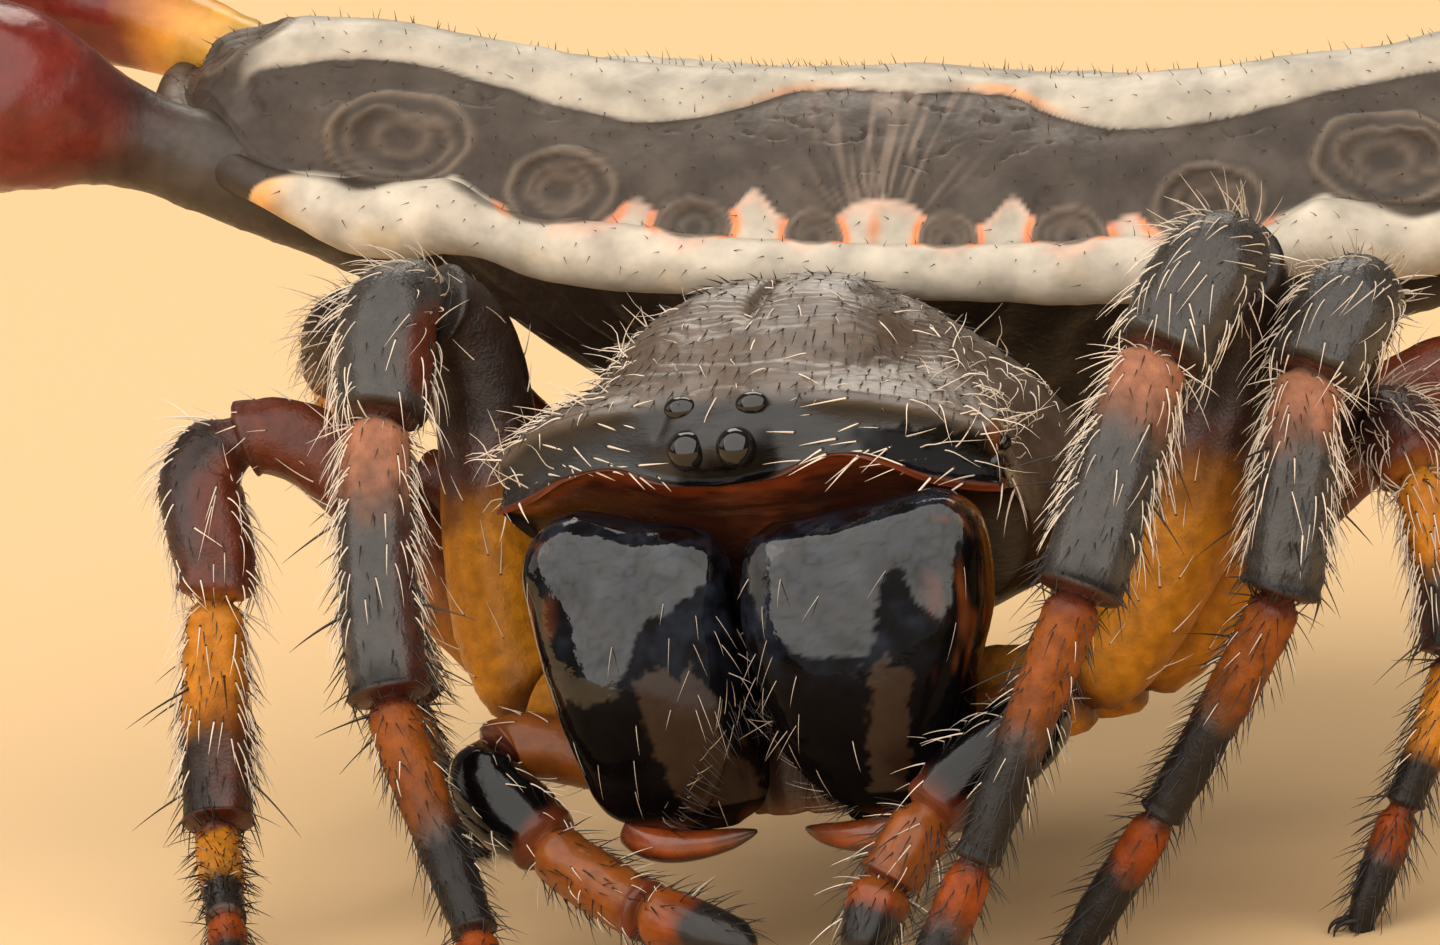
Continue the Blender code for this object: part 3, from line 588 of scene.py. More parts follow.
def carapace_relief(points, v, s):
    """How far each point of the upper side stands out from the plain dome, in mm."""
    x, y, z = points[..., 0], points[..., 1], points[..., 2]
    side = abs(x)
    top = smooth(0.55, 1.0, y)
    front = 1 - smooth(0.7, 1.1, y)
    groove = -0.075 * hill(x - GROOVE_X, 0.055) * smooth(0.75, 1.1, y) * (1 - smooth(2.0, 2.6, y))
    lobes = 0.040 * hill(side - 0.34, 0.26) * smooth(0.8, 1.2, y) * (1 - smooth(1.8, 2.4, y))
    bench = read(BENCH_LINE, side)
    ledge = smooth(0.35, 0.9, side) * front
    bench_rise = 0.075 * hill(z - bench, 0.065) * ledge
    face_dip = -0.030 * hill(z - bench + 0.20, 0.12) * ledge
    valley = -0.125 * hill(z - bench - 0.25, 0.11) * smooth(0.4, 1.1, side)
    valley = valley * (1 - smooth(0.9, 1.5, y))
    lip_roll = 0.045 * hill(v - 0.006, 0.006) * (1 - 0.3 * hill(x, 0.3))
    brow = 0.020 * hill(np.hypot(side - REAR_EYE_X, (z - 3.99) * 1.3), 0.13) * front
    moat = -0.022 * hill(np.hypot(x, (z - 3.76) * 1.25) - 0.42, 0.05) * smooth(3.7, 3.85, z) * front
    bulge = 0.040 * hill(x, 0.36) * hill(z - 3.72, 0.17) * front
    saddle = -0.025 * hill(x, 0.07) * hill(z - 3.66, 0.12) * front
    rims = 0.008 * hill(np.hypot(side - REAR_EYE_X, (z - 3.955) * 1.4) - 0.06, 0.09) * front
    corner = 0.075 * hill(side - 1.84, 0.12) * hill(z - 3.58, 0.09) * front
    warped = z + 0.9 * (y - 1.0) * top + 0.05 * noise(points, 0.35, 4)
    lines = np.sin(2 * np.pi * (warped + 0.012 * noise(points, 0.06, 6)) / STRIA_STEP)
    wavy = smooth(0.0, 0.25, z - bench + 0.02 * noise(points, 0.1, 9)) * (1 - smooth(2.4, 3.0, y))
    striae = 0.0042 * lines * wavy
    rough = (0.055 * rough_noise(points, 0.55, 2) + 0.016 * rough_noise(points, 0.22, 13)) * top
    rough = rough + 0.004 * noise(points, 0.12, 3) * wavy
    seam = np.minimum(1.0, v / 0.004) * (1 - smooth(0.97, 1.0, v)) * (1 - smooth(0.985, 1.0, abs(s)))
    forms = groove + lobes + bench_rise + face_dip + valley + lip_roll + brow + moat + bulge
    return (forms + saddle + rims + corner + striae + rough) * seam


def black_glaze(points, face):
    """The glossy black places on the face: under the middle eyes and at the left corner."""
    x, z = points[..., 0], points[..., 2]
    patch = noise(points, 0.08, 7)
    middle = smooth(0.45, 0.38, np.hypot(x - 0.05, (z - 3.62) * 1.5) + 0.03 * patch)
    middle = middle * (1 - smooth(3.62, 3.80, z - 0.35 * (x - 0.2) + 0.05 * patch))
    wet_line = 3.72 - 0.10 * (x - 1.0) + 0.05 * patch + 0.02 * noise(points, 0.03, 8)
    corner = smooth(0.85, 1.15, x + 0.1 * patch) * (1 - smooth(-0.01, 0.01, z - wet_line))
    return np.maximum(middle, corner) * face


def carapace_paint(points, v):
    """The upper side: black under the bench line, painted warm sheen above it, amber corners, a red lip.
    """
    x, y, z = points[..., 0], points[..., 1], points[..., 2]
    side = abs(x)
    bench = read(BENCH_LINE, side)
    face = 1 - smooth(-0.06, 0.08, z - bench + 0.02 * noise(points, 0.08, 5))
    face = face * (1 - smooth(0.6, 1.0, y))
    amber = hill(side - HEAD_HALF_WIDTH, 0.05) * hill(z - 3.53, 0.13) * (1 - smooth(0.7, 0.9, y))
    lip = (1 - smooth(0.0035, 0.009, v)) * smooth(0.3, 0.75, side)
    return layered(
        # The top is warm brown as painted sheen, the face under the bench line black
        points, SHELL_SHEEN_BROWN, (FACE_BLACK, face), (GLOSS_BLACK, black_glaze(points, face)),
        (CORNER_AMBER, 0.75 * amber), (LIP_RED, lip),
    )


def carapace_shine(points):
    """How strongly each place shines: the top most, the flanks under the edge least."""
    x, y, z = points[..., 0], points[..., 1], points[..., 2]
    side = abs(x)
    over = z - read(BENCH_LINE, side)
    below_edge = (1 - smooth(-0.45, -0.05, over)) * smooth(0.65, 0.95, y)
    face = (1 - smooth(-0.06, 0.08, over)) * (1 - smooth(0.6, 1.0, y))
    hollow = hill(over - 0.26, 0.13) * smooth(0.5, 1.0, side) * (1 - smooth(1.2, 1.6, y))
    hollow = np.maximum(hollow, hill(x - GROOVE_X, 0.09) * smooth(0.75, 1.1, y))
    patchy = 1.0 + 0.8 * rough_noise(points, 0.55, 14) + 0.4 * rough_noise(points, 0.2, 15)
    patchy = patchy.clip(0.2, 1.8) * (1 - 0.65 * hollow)
    patchy = patchy + 0.5 * hill(over, 0.05) * smooth(0.6, 1.0, side) * (y < 1.0)
    front = mix(0.42, 0.10, black_glaze(points, face)) * (1 + 0.25 * rough_noise(points, 0.3, 16))
    return mix(mix(patchy, front, face), 0.08, below_edge)


def carapace_under_paint(points):
    """The clypeus, red under the lip and streaked, and the dark underside behind it."""
    x, y, z = points[..., 0], points[..., 1], points[..., 2]
    below = lip_height(x / HEAD_HALF_WIDTH) - z
    streak = noise(points * np.array([0.35, 1, 1]), 0.05, 12)
    middle = hill(x - 0.12, 0.30) * smooth(0.6, 0.3, below)
    return layered(
        points, CLYPEUS_DARK,
        # The clypeus's own reds, brightened as painted light against the shade under the lip
        (CLYPEUS_RED_LIT, 1 - smooth(0.05, 0.15, below + 0.03 * streak)),
        (CLYPEUS_WARM_LIT, 0.8 * middle * smooth(-0.5, 0.5, streak)),
        (CLYPEUS_STREAK, 0.5 * smooth(0.10, 0.7, streak)),
        (DARK_BROWN, smooth(0.5, 0.8, y)),
    )


def build_carapace():
    skin = Skin()
    points, v, s = carapace_grid(CARAPACE_ROWS, CARAPACE_COLUMNS, True)
    points = points + grid_normals(points) * carapace_relief(points, v, s)[..., None]
    skin.add(apply(HEAD, points), carapace_paint(points, v), UPPER_MAP)
    shine = carapace_shine(points).ravel()
    points, _, _ = carapace_grid(CARAPACE_ROWS, CARAPACE_COLUMNS, False)
    skin.add(apply(HEAD, points)[:, ::-1], carapace_under_paint(points)[:, ::-1], UNDER_MAP)
    shell = skin_object("carapace_skin", skin, MATS["carapace"], "carapace_shell", "carapace")
    add_shine(shell, np.concatenate([shine, np.full(CARAPACE_ROWS * CARAPACE_COLUMNS, UNDER_SHINE)]))
    return skin


def ball_grid(centre, radii, turn):
    """A ball or egg whose pole points to -Y, so that its rows run back from the front."""
    a = np.linspace(POLE_GAP, np.pi - POLE_GAP, EYE_ROWS)[:, None]
    b = np.linspace(0, 2 * np.pi, EYE_COLUMNS, endpoint=False)[None, :]
    axes = np.sin(a) * np.cos(b), -np.cos(a), -np.sin(a) * np.sin(b)
    ball = np.stack(np.broadcast_arrays(*axes), -1) * np.array(radii)
    return ball @ turn[:3, :3].T + np.array(centre)


def build_eyes():
    for name, (centre, radii, tilt) in EYES.items():
        for side, sign in SIDES:
            skin = Skin()
            grid = ball_grid(mirrored(centre, sign), radii, turn_matrix("X", -tilt))
            skin.add(apply(HEAD, grid), GLOSS_BLACK, closed=True)
            skin_object(f"{name}_{side}_lens", skin, MATS["eye"], "eye", f"{name}_{side}")


# A chelicera, from its base down: height, inner and outer x, front and rear y, in mm
CHELICERA_LEVELS = (
    (3.17, 0.30, 1.30, 0.04, 0.36), (3.08, 0.14, 1.48, -0.09, 0.46),
    (2.92, 0.07, 1.63, -0.19, 0.52), (2.62, 0.05, 1.66, -0.32, 0.58),
    (2.35, 0.05, 1.60, -0.40, 0.60), (2.07, 0.06, 1.51, -0.43, 0.60),
    (1.79, 0.08, 1.44, -0.40, 0.60), (1.54, 0.12, 1.40, -0.30, 0.58),
    (1.32, 0.17, 1.37, -0.15, 0.54), (1.17, 0.26, 1.27, 0.00, 0.48), (1.08, 0.42, 1.06, 0.12, 0.42),
)
# Roundness of a cross section: 1 is an ellipse, less is boxier
CHELICERA_POWER = 0.78
CHELICERA_ROWS = 150
CHELICERA_COLUMNS = 180
# Their bases rise outwards by this much per mm
BASE_SLANT = 0.24
FURROW_LINE = ((0.0, 1.92), (0.15, 1.76), (0.35, 1.46), (0.55, 1.24), (0.75, 1.12))
# Lower edge of the clean upper part of each one, and the brown patch below, a painted reflection
# of the floor: inner and outer x, bottom and top, in mm, and how far it leans outwards per mm
CLEAN_EDGE = {
    "right": (
        (0.0, 2.84), (0.15, 2.80), (0.40, 2.66), (0.55, 2.60), (0.72, 2.34), (0.9, 2.15), (1.7, 2.10),
    ),
    "left": (
        (0.0, 3.0), (0.2, 2.80), (0.36, 2.52), (0.5, 2.38), (0.8, 2.34), (1.02, 2.36),
        (1.08, 2.75), (1.22, 2.84), (1.30, 2.62), (1.5, 2.56), (1.56, 2.95), (1.7, 3.0),
    ),
}
REFLECTION_PATCH = {"right": (0.20, 0.66, 1.26, 2.28, 0.05), "left": (0.90, 1.16, 1.34, 2.28, 0.28)}


def chelicera_sway(x, z):
    """How far both chelicerae lean towards the spider's left."""
    upper = smooth(1.8, 2.6, z)
    return mix(0.12, 0.17 * smooth(0.3, 1.4, x), upper)


def chelicera_grid(rows, columns):
    """Rings of the left chelicera from its base down, before it leans."""
    t = np.linspace(0, 1, rows)[:, None]
    z = mix(CHELICERA_LEVELS[0][0], CHELICERA_LEVELS[-1][0], (1 - np.cos(np.pi * t)) / 2)
    inner, outer, front, rear = (read(table, z) for table in level_tables(CHELICERA_LEVELS))
    a = np.linspace(0, 2 * np.pi, columns, endpoint=False)[None, :]
    c, s = np.cos(a), np.sin(a)
    x = (inner + outer) / 2 + (outer - inner) / 2 * signed_power(c, CHELICERA_POWER)
    y = (front + rear) / 2 + (rear - front) / 2 * signed_power(s, CHELICERA_POWER)
    slant = BASE_SLANT * np.maximum(x - 0.75, 0) + 0.06 * np.minimum(x - 0.75, 0)
    z = z + slant * smooth(2.4, 3.16, z)
    return np.stack(np.broadcast_arrays(x, y, z), axis=-1)


def chelicera_shine(side, points):
    """How strongly each place shines, and where the brown patch of painted floor reflection is."""
    x, y, z = points[..., 0], points[..., 1], points[..., 2]
    ragged = 0.05 * noise(points, 0.09, 25) + 0.03 * noise(points, 0.035, 26)
    front = smooth(0.35, 0.15, y)
    clean = smooth(-0.012, 0.012, z - read(CLEAN_EDGE[side], x) + ragged)
    # The brown patch is a painted reflection of the floor, and shines a little more
    inner, outer, low, high, slope = REFLECTION_PATCH[side]
    lean = slope * (z - 1.8)
    wear_and_reflection = smooth(-0.01, 0.01, x - inner - lean + ragged)
    wear_and_reflection = wear_and_reflection * smooth(0.01, -0.01, x - outer - 0.7 * lean + ragged)
    wear_and_reflection = wear_and_reflection * smooth(-0.01, 0.01, z - low) * smooth(0.01, -0.01, z - high + 2 * ragged) * front
    low_shine = mix(0.01, 0.05, smooth(1.3, 2.2, z))
    crackle = hill(noise(points, 0.11, 28), 0.10) + 0.7 * hill(noise(points, 0.06, 29), 0.10)
    mottled = 0.58 + 0.22 * rough_noise(points, 0.22, 30) - 0.12 * crackle
    return mix(low_shine, mottled, clean) + 0.17 * wear_and_reflection * (1 - clean), wear_and_reflection


def build_chelicera(side, sign):
    points = chelicera_grid(CHELICERA_ROWS, CHELICERA_COLUMNS)
    x, y, z = points[..., 0], points[..., 1], points[..., 2]
    normals = grid_normals(points, flip=True)
    # The furrow for the fang on the inner lower side, with its raised rim
    over = z - read(FURROW_LINE, x) + 0.01 * noise(points, 0.08, 24)
    facing = smooth(0.2, -0.3, normals[..., 1]) * (1 - smooth(0.80, 0.95, x))
    relief = 0.020 * hill(over, 0.022) * facing - 0.075 * (1 - smooth(-0.10, 0.0, over)) * facing
    relief = relief + 0.010 * rough_noise(points, 0.5, 21) + 0.0022 * noise(points, 0.10, 22)
    boss = 0.05 * hill(np.sqrt((x - 1.52) ** 2 + (y + 0.02) ** 2 + (z - 2.95) ** 2), 0.20)
    points = points + normals * ((relief + boss) * (1 - hill(z - 1.08, 0.03)))[..., None]
    streak = 0.5 + 0.5 * noise(points * np.array([1, 1, 0.2]), 0.06, 23)
    outer = smooth(1.30, 1.55, x - 0.1 * y) * smooth(1.9, 2.3, z)
    # Blue-grey mottle over the upper part, as painted sheen
    sheen_mottle = smooth(-0.3, 0.5, rough_noise(points, 0.12, 27)) * smooth(2.0, 2.6, z)
    shine, wear_and_reflection = chelicera_shine(side, points)
    paint = layered(
        points, GLOSS_BLACK,
        (JAW_FLANK, 0.7 * outer * smooth(0.45, 0.9, streak)),
        (JAW_AMBER, 0.8 * hill(y - 0.30, 0.14) * smooth(1.45, 1.6, x)),
        (JAW_TIP, 0.7 * (1 - smooth(1.10, 1.24, z))),
        (JAW_FURROW, (1 - smooth(-0.08, 0.0, over)) * facing),
        (JAW_BLUE_SHEEN, 0.8 * sheen_mottle * (1 - outer)),
        # The brown patch: painted reflection of the floor
        (JAW_FLOOR_REFLECTION, wear_and_reflection),
    )
    points = points * np.array([sign, 1, 1])
    points[..., 0] += chelicera_sway(x, z)
    if sign > 0:
        points, paint, shine = points[:, ::-1], paint[:, ::-1], shine[:, ::-1]
    name = f"chelicera_{side}"
    skin, shell = closed_piece(
        f"{name}_shell", apply(HEAD, points), paint, "chelicera", "chelicera_shell", name
    )
    add_shine(shell, np.concatenate([shine.ravel(), shine[0, :1], shine[-1, :1]]))
    return skin


# Stations along a limb
def bezier(span, t):
    p0, p1, p2, p3 = span
    t = t[:, None]
    s = 1 - t
    return p0 * s**3 + p1 * (3 * s * s * t) + p2 * (3 * s * t * t) + p3 * t**3


def bezier_direction(span, t):
    p0, p1, p2, p3 = span
    t = t[:, None]
    s = 1 - t
    return unit((p1 - p0) * s * s + (p2 - p1) * (2 * s * t) + (p3 - p2) * t * t)


def limb_spans(joints, ease, last_direction=None):
    """A curve for each segment of a limb, smooth over its joints. ease says how straight."""
    joints = [np.array(j, float) for j in joints]
    chords = [joints[i + 1] - joints[i] for i in range(len(joints) - 1)]
    tangents = [unit(chords[0])]
    for before, after in zip(chords, chords[1:]):
        tangents.append(unit(unit(before) + unit(after)))
    tangents.append(unit(chords[-1] if last_direction is None else last_direction))
    spans = []
    for i, chord in enumerate(chords):
        start, end = joints[i], joints[i + 1]
        reach = np.linalg.norm(chord) * ease[i]
        spans.append((start, start + tangents[i] * reach, end - tangents[i + 1] * reach, end))
    return spans


def limb_stations(spans, radii, counts, pinch):
    """Centre, direction, radius and place (segment and part of it) of each ring of a limb."""
    centres, directions, sizes, places = [], [], [], []
    last = len(spans) - 1
    for k, span in enumerate(spans):
        t = (1 - np.cos(np.pi * np.linspace(0, 1, counts[k]))) / 2
        if k < last:
            t = t[:-1]
        length = np.linalg.norm(span[3] - span[0])
        from_start, from_end = t * length, (1 - t) * length
        size = read(radii[k], t)
        if k > 0:
            size = size * (1 - pinch * hill(from_start, 0.075))
            size = size * (1 + 0.05 * hill(from_start - 0.14, 0.06))
        if k < last:
            size = size * (1 - pinch * hill(from_end, 0.020))
            size = size * (1 + 0.09 * hill(from_end - 0.055, 0.035))
        centres.append(bezier(span, t))
        directions.append(bezier_direction(span, t))
        sizes.append(size)
        places.append(k + t)
    join = np.concatenate
    return join(centres), join(directions), join(sizes), join(places)


def limb_grid(centres, directions, sizes, inner_point, sides):
    """Rings round a limb, with its back turned away from inner_point."""
    outward = centres - np.array(inner_point)
    back = unit(outward - directions * (outward * directions).sum(-1, keepdims=True))
    side = unit(np.cross(directions, back))
    ring = unit_rings(side, back, sides)
    height = np.sin(np.linspace(0, 2 * np.pi, sides, endpoint=False)) + 0 * sizes[:, None]
    return centres[:, None] + ring * sizes[:, None, None], ring, height


def tube(span, t, sizes, inner_point, sides):
    """A tube along a curve: its points, the way each faces and how far it is on the back."""
    span = [np.array(p, float) for p in span]
    return limb_grid(bezier(span, t), bezier_direction(span, t), sizes, inner_point, sides)


# Joints of each leg: coxa root, femur root, knee, patella end, tibia end, metatarsus end and foot
LEG_JOINTS = {
    "leg_1_left": (
        (1.30, 1.20, 1.78), (2.00, 1.24, 1.76), (3.30, 1.50, 4.60), (2.99, 0.75, 4.13),
        (2.70, -0.35, 2.77), (2.06, -1.00, 1.13), (1.60, -1.40, 0.0),
    ),
    "leg_2_left": (
        (1.45, 1.80, 1.76), (2.14, 1.88, 1.72), (3.90, 2.15, 4.18), (3.79, 1.45, 3.82),
        (3.62, 0.90, 2.46), (2.74, 0.60, 1.02), (2.05, 0.42, 0.0),
    ),
    "leg_3_left": (
        (1.42, 2.47, 1.78), (2.05, 2.70, 1.76), (3.55, 2.85, 3.15), (4.12, 2.40, 2.92),
        (4.40, 2.05, 1.75), (4.05, 1.70, 0.80), (3.75, 1.45, 0.0),
    ),
    "leg_4_left": (
        (1.12, 3.10, 1.82), (1.76, 3.52, 1.84), (4.05, 3.95, 3.30), (4.60, 4.55, 2.95),
        (4.80, 5.75, 1.80), (4.45, 6.60, 0.75), (4.10, 7.20, 0.0),
    ),
    "leg_1_right": (
        (-1.30, 1.20, 1.70), (-1.98, 1.24, 1.66), (-2.68, 1.68, 4.36), (-2.82, 0.90, 3.73),
        (-2.53, 0.00, 2.00), (-1.80, -0.62, 0.52), (-1.45, -1.46, 0.0),
    ),
    "leg_2_right": (
        (-1.45, 1.80, 1.68), (-2.14, 1.88, 1.62), (-4.38, 1.95, 3.36), (-4.49, 1.50, 2.34),
        (-4.52, 1.20, 0.80), (-3.92, -0.06, 0.46), (-3.52, -0.90, 0.0),
    ),
    "leg_3_right": (
        (-1.42, 2.47, 1.70), (-2.05, 2.70, 1.66), (-3.50, 3.05, 2.75), (-3.88, 2.98, 2.15),
        (-3.85, 3.05, 1.20), (-3.72, 3.15, 0.52), (-3.62, 3.45, 0.0),
    ),
    "leg_4_right": (
        (-1.12, 3.10, 1.74), (-1.76, 3.52, 1.76), (-4.10, 3.80, 3.70), (-4.66, 4.30, 3.35),
        (-4.95, 5.50, 2.10), (-4.62, 6.45, 0.85), (-4.30, 7.15, 0.0),
    ),
}
# Radius along each segment of a leg, how straight it runs, and its count of rings
LEG_RADII = (
    ((0.0, 0.26), (0.5, 0.32), (0.8, 0.31), (1.0, 0.25)),
    ((0.0, 0.25), (0.10, 0.31), (0.45, 0.35), (0.85, 0.32), (1.0, 0.29)),
    ((0.0, 0.28), (0.3, 0.335), (0.75, 0.345), (1.0, 0.30)),
    ((0.0, 0.205), (0.15, 0.245), (0.5, 0.275), (0.93, 0.285), (1.0, 0.26)),
    ((0.0, 0.165), (0.12, 0.185), (0.7, 0.165), (1.0, 0.15)),
    ((0.0, 0.135), (0.2, 0.155), (0.7, 0.140), (1.0, 0.095)),
)
LEG_EASE = (0.2, 0.30, 0.55, 0.22, 0.22, 0.25)
LEG_COUNTS = (16, 52, 36, 52, 48, 40)
LEG_SIDES = 36
LEG_THICKNESS = {
    "leg_1_left": 1.0, "leg_2_left": 0.96, "leg_3_left": 0.84, "leg_4_left": 0.95,
    "leg_1_right": 1.0, "leg_2_right": 0.86, "leg_3_right": 0.84, "leg_4_right": 0.95,
}

# Colours along a leg, by segment: 0 coxa, 1 femur, 2 patella, 3 tibia, 4 metatarsus, 5 tarsus
FRONT_LEG_BANDS = (
    (0.0, DARK_AMBER), (0.9, AMBER), (1.0, RED_BROWN), (1.1, AMBER), (1.38, AMBER), (1.52, RED_BROWN),
    (1.64, DARK_BROWN), (1.95, DARK_BROWN), (2.06, SLATE), (2.96, SLATE), (2.98, DARK_BROWN),
    (3.00, RED_BROWN), (3.012, KNEE_EDGE), (3.06, PEACH), (3.20, PEACH), (3.42, SLATE),
    (3.85, SLATE), (3.96, INK),
    (4.00, RED_BROWN), (4.05, RUST), (4.12, ORANGE), (4.38, ORANGE), (4.58, INK), (4.97, INK),
    (5.02, RED_BROWN), (5.08, RED_ORANGE), (5.26, RED_ORANGE), (5.42, INK), (6.0, INK),
)
REAR_LEG_BANDS = (
    (0.0, DARK_AMBER), (0.9, DARK_AMBER), (1.0, RED_BROWN), (1.1, AMBER), (1.45, RUST),
    (1.95, RUST), (2.08, DARK_BROWN), (2.70, LEG_MAROON), (2.84, RED_BROWN),
    (2.96, RUST), (3.04, BRIGHT_ORANGE), (3.46, BRIGHT_ORANGE), (3.60, DARK_BROWN), (3.93, INK),
    (3.98, RED_BROWN), (4.12, RED_BROWN), (4.20, BRIGHT_ORANGE), (4.55, BRIGHT_ORANGE), (4.68, INK),
    (4.97, INK), (5.04, RED_ORANGE), (5.30, RED_ORANGE), (5.45, INK), (6.0, INK),
)


def leg_bands(name):
    """The first legs and the second left one carry the front bands."""
    return FRONT_LEG_BANDS if name[4] == "1" or name == "leg_2_left" else REAR_LEG_BANDS


def from_joint(places):
    """How far each place along a limb is from the nearest joint."""
    return abs(places - np.round(places))


def ragged_places(places, wander):
    """Places along a limb, moved by wander away from the joints."""
    return places[:, None] + wander * smooth(0.02, 0.12, from_joint(places))[:, None]


def leg_paint(points, places, back, bands):
    """Bands along a leg, with a redder underside of the patella and tibia."""
    at = ragged_places(places, 0.05 * noise(points, 0.16, 31) + 0.02 * noise(points, 0.05, 32))
    paint = ramp(bands, at)
    patella = smooth(2.0, 2.1, at) * (1 - smooth(2.85, 2.95, at))
    paint = blend_paint(paint, RUST, patella * (1 - smooth(-0.75, -0.2, back)))
    belly = 1 - smooth(-0.9, -0.2, back)
    tibia = smooth(3.3, 3.5, at) * (1 - smooth(4.0, 4.1, at))
    return blend_paint(paint, RUST, 0.5 * tibia * belly)


# The nearly bare faces of the legs point this way, and lie this far from the middle line
LEG_FACE = unit(np.array((0.40, -0.89, 0.21)))
FACET_DEPTH = 0.84
# The foot's last rings, which may not go below the floor
FOOT_RINGS = 12
# How much a limb narrows at its joints
LEG_PINCH = 0.26
PALP_PINCH = 0.22


def build_leg(name, joints):
    thick = LEG_THICKNESS[name]
    end = unit(np.array(joints[6], float) - np.array(joints[5])) + np.array((0, 0, -0.7))
    spans = limb_spans(joints, LEG_EASE, end)
    centres, directions, sizes, places = limb_stations(spans, LEG_RADII, LEG_COUNTS, LEG_PINCH)
    inner = (np.array(joints[0], float) + np.array(joints[6], float)) / 2
    points, ring, back = limb_grid(centres, directions, sizes * thick, inner, LEG_SIDES)
    flat = smooth(2.05, 2.2, places) * (1 - smooth(3.9, 4.0, places))
    relief = -0.022 * flat[:, None] * hill(back - 1, 0.35) + 0.012 * rough_noise(points, 0.22, 33)
    relief = relief + 0.008 * noise(points, 0.07, 34)
    facet = 1 - FACET_DEPTH / np.maximum(ring @ LEG_FACE, FACET_DEPTH)
    relief = relief - facet * (sizes * thick * flat)[:, None]
    near_joint = (from_joint(places) * (places > 1.5))[:, None]
    relief = relief - 0.006 * (1 - smooth(0.06, 0.16, near_joint)) * hill(noise(points, 0.08, 35), 0.25)
    points = points + ring * relief[..., None]
    points[-FOOT_RINGS:, :, 2] = points[-FOOT_RINGS:, :, 2].clip(min=0.0)
    paint = leg_paint(points, places, back, leg_bands(name))
    nodes = [f"{name}_{part}" for part in ("femur", "patella", "tibia", "foot")]
    skin, piece = closed_piece(f"{name}_skin", points, paint, "leg", "leg_skin", *nodes)
    add_dark_shine(piece, skin)
    return skin, places


PALP_JOINTS = {
    "palp_left": (
        (1.02, 0.86, 1.38), (1.98, 0.50, 1.78), (1.50, -0.36, 1.28), (1.24, -0.60, 0.88),
        (1.12, -0.95, 0.45),
    ),
    "palp_right": (
        (-1.02, 0.86, 1.28), (-2.04, 0.60, 1.46), (-1.53, 0.16, 0.93), (-0.66, -0.26, 0.58),
        (0.20, -0.52, 0.42),
    ),
}
PALP_RADII = (
    ((0.0, 0.18), (0.3, 0.22), (0.8, 0.23), (1.0, 0.21)),
    ((0.0, 0.21), (0.25, 0.270), (0.6, 0.290), (0.85, 0.260), (1.0, 0.20)),
    ((0.0, 0.19), (0.5, 0.215), (1.0, 0.20)),
    ((0.0, 0.19), (0.3, 0.21), (0.75, 0.16), (0.93, 0.09), (1.0, 0.03)),
)
PALP_EASE = (0.25, 0.45, 0.25, 0.25)
PALP_COUNTS = (36, 36, 32, 40)
PALP_SIDES = 32
PALP_BANDS = (
    (0.0, DARK_AMBER), (0.5, ORANGE), (0.9, ORANGE), (0.98, RUST), (1.08, GLOSS_BLACK),
    (1.85, GLOSS_BLACK), (1.96, RUST), (2.06, ORANGE), (2.8, ORANGE), (2.95, RUST),
    (3.1, ORANGE), (3.35, RED_ORANGE), (3.5, INK), (4.0, INK),
)


def build_palp(name, joints):
    spans = limb_spans(joints, PALP_EASE)
    centres, directions, sizes, places = limb_stations(spans, PALP_RADII, PALP_COUNTS, PALP_PINCH)
    points, ring, _ = limb_grid(centres, directions, sizes, (0, 0.6, 0.4), PALP_SIDES)
    relief = 0.010 * rough_noise(points, 0.18, 36) + 0.003 * noise(points, 0.05, 37)
    points = points + ring * relief[..., None]
    paint = ramp(PALP_BANDS, ragged_places(places, 0.04 * noise(points, 0.14, 38)))
    nodes = [f"{name}_femur", f"{name}_tip"]
    skin, _ = closed_piece(f"{name}_skin", points, paint, "palp", "palp_skin", *nodes)
    return skin, places


FANG_PATH = ((1.05, 0.24, 1.08), (0.88, 0.08, 0.96), (0.48, 0.10, 0.96), (0.18, 0.26, 1.02))
FANG_RADII = ((0.0, 0.13), (0.4, 0.12), (0.8, 0.075), (0.95, 0.035), (1.0, 0.012))
FANG_ROWS = 60
FANG_SIDES = 32
FANG_BANDS = ((0.0, RUST), (0.2, FANG_RED), (0.7, RED_ORANGE), (1.0, INK))


def build_fangs():
    for side, sign in SIDES:
        span = [mirrored(p, sign) for p in FANG_PATH]
        t = np.linspace(0, 1, FANG_ROWS)
        points, ring, back = tube(span, t, read(FANG_RADII, t), (0, 0.3, 3.0), FANG_SIDES)
        relief = 0.014 * hill(back - 0.9, 0.25) * (1 - t[:, None]) - 0.008 * hill(back, 0.3)
        points = points + ring * relief[..., None]
        paint = ramp(FANG_BANDS, t[:, None] + 0 * back)
        paint = blend_paint(paint, FANG_RIDGE, smooth(0.4, 0.8, back))
        name = f"fang_{side}"
        closed_piece(f"{name}_shell", apply(HEAD, points), paint, "fang", "fang", name)


def block_grid(levels, rows, columns, power):
    """A rounded block from levels of (z, middle y, half x, half y), top first."""
    z = np.linspace(levels[0][0], levels[-1][0], rows)[:, None]
    middle, half_x, half_y = (read(table, z) for table in level_tables(levels))
    a = np.linspace(0, 2 * np.pi, columns, endpoint=False)[None, :]
    x = half_x * signed_power(np.cos(a), power)
    y = middle + half_y * signed_power(np.sin(a), power)
    return np.stack(np.broadcast_arrays(x, y, z), axis=-1)


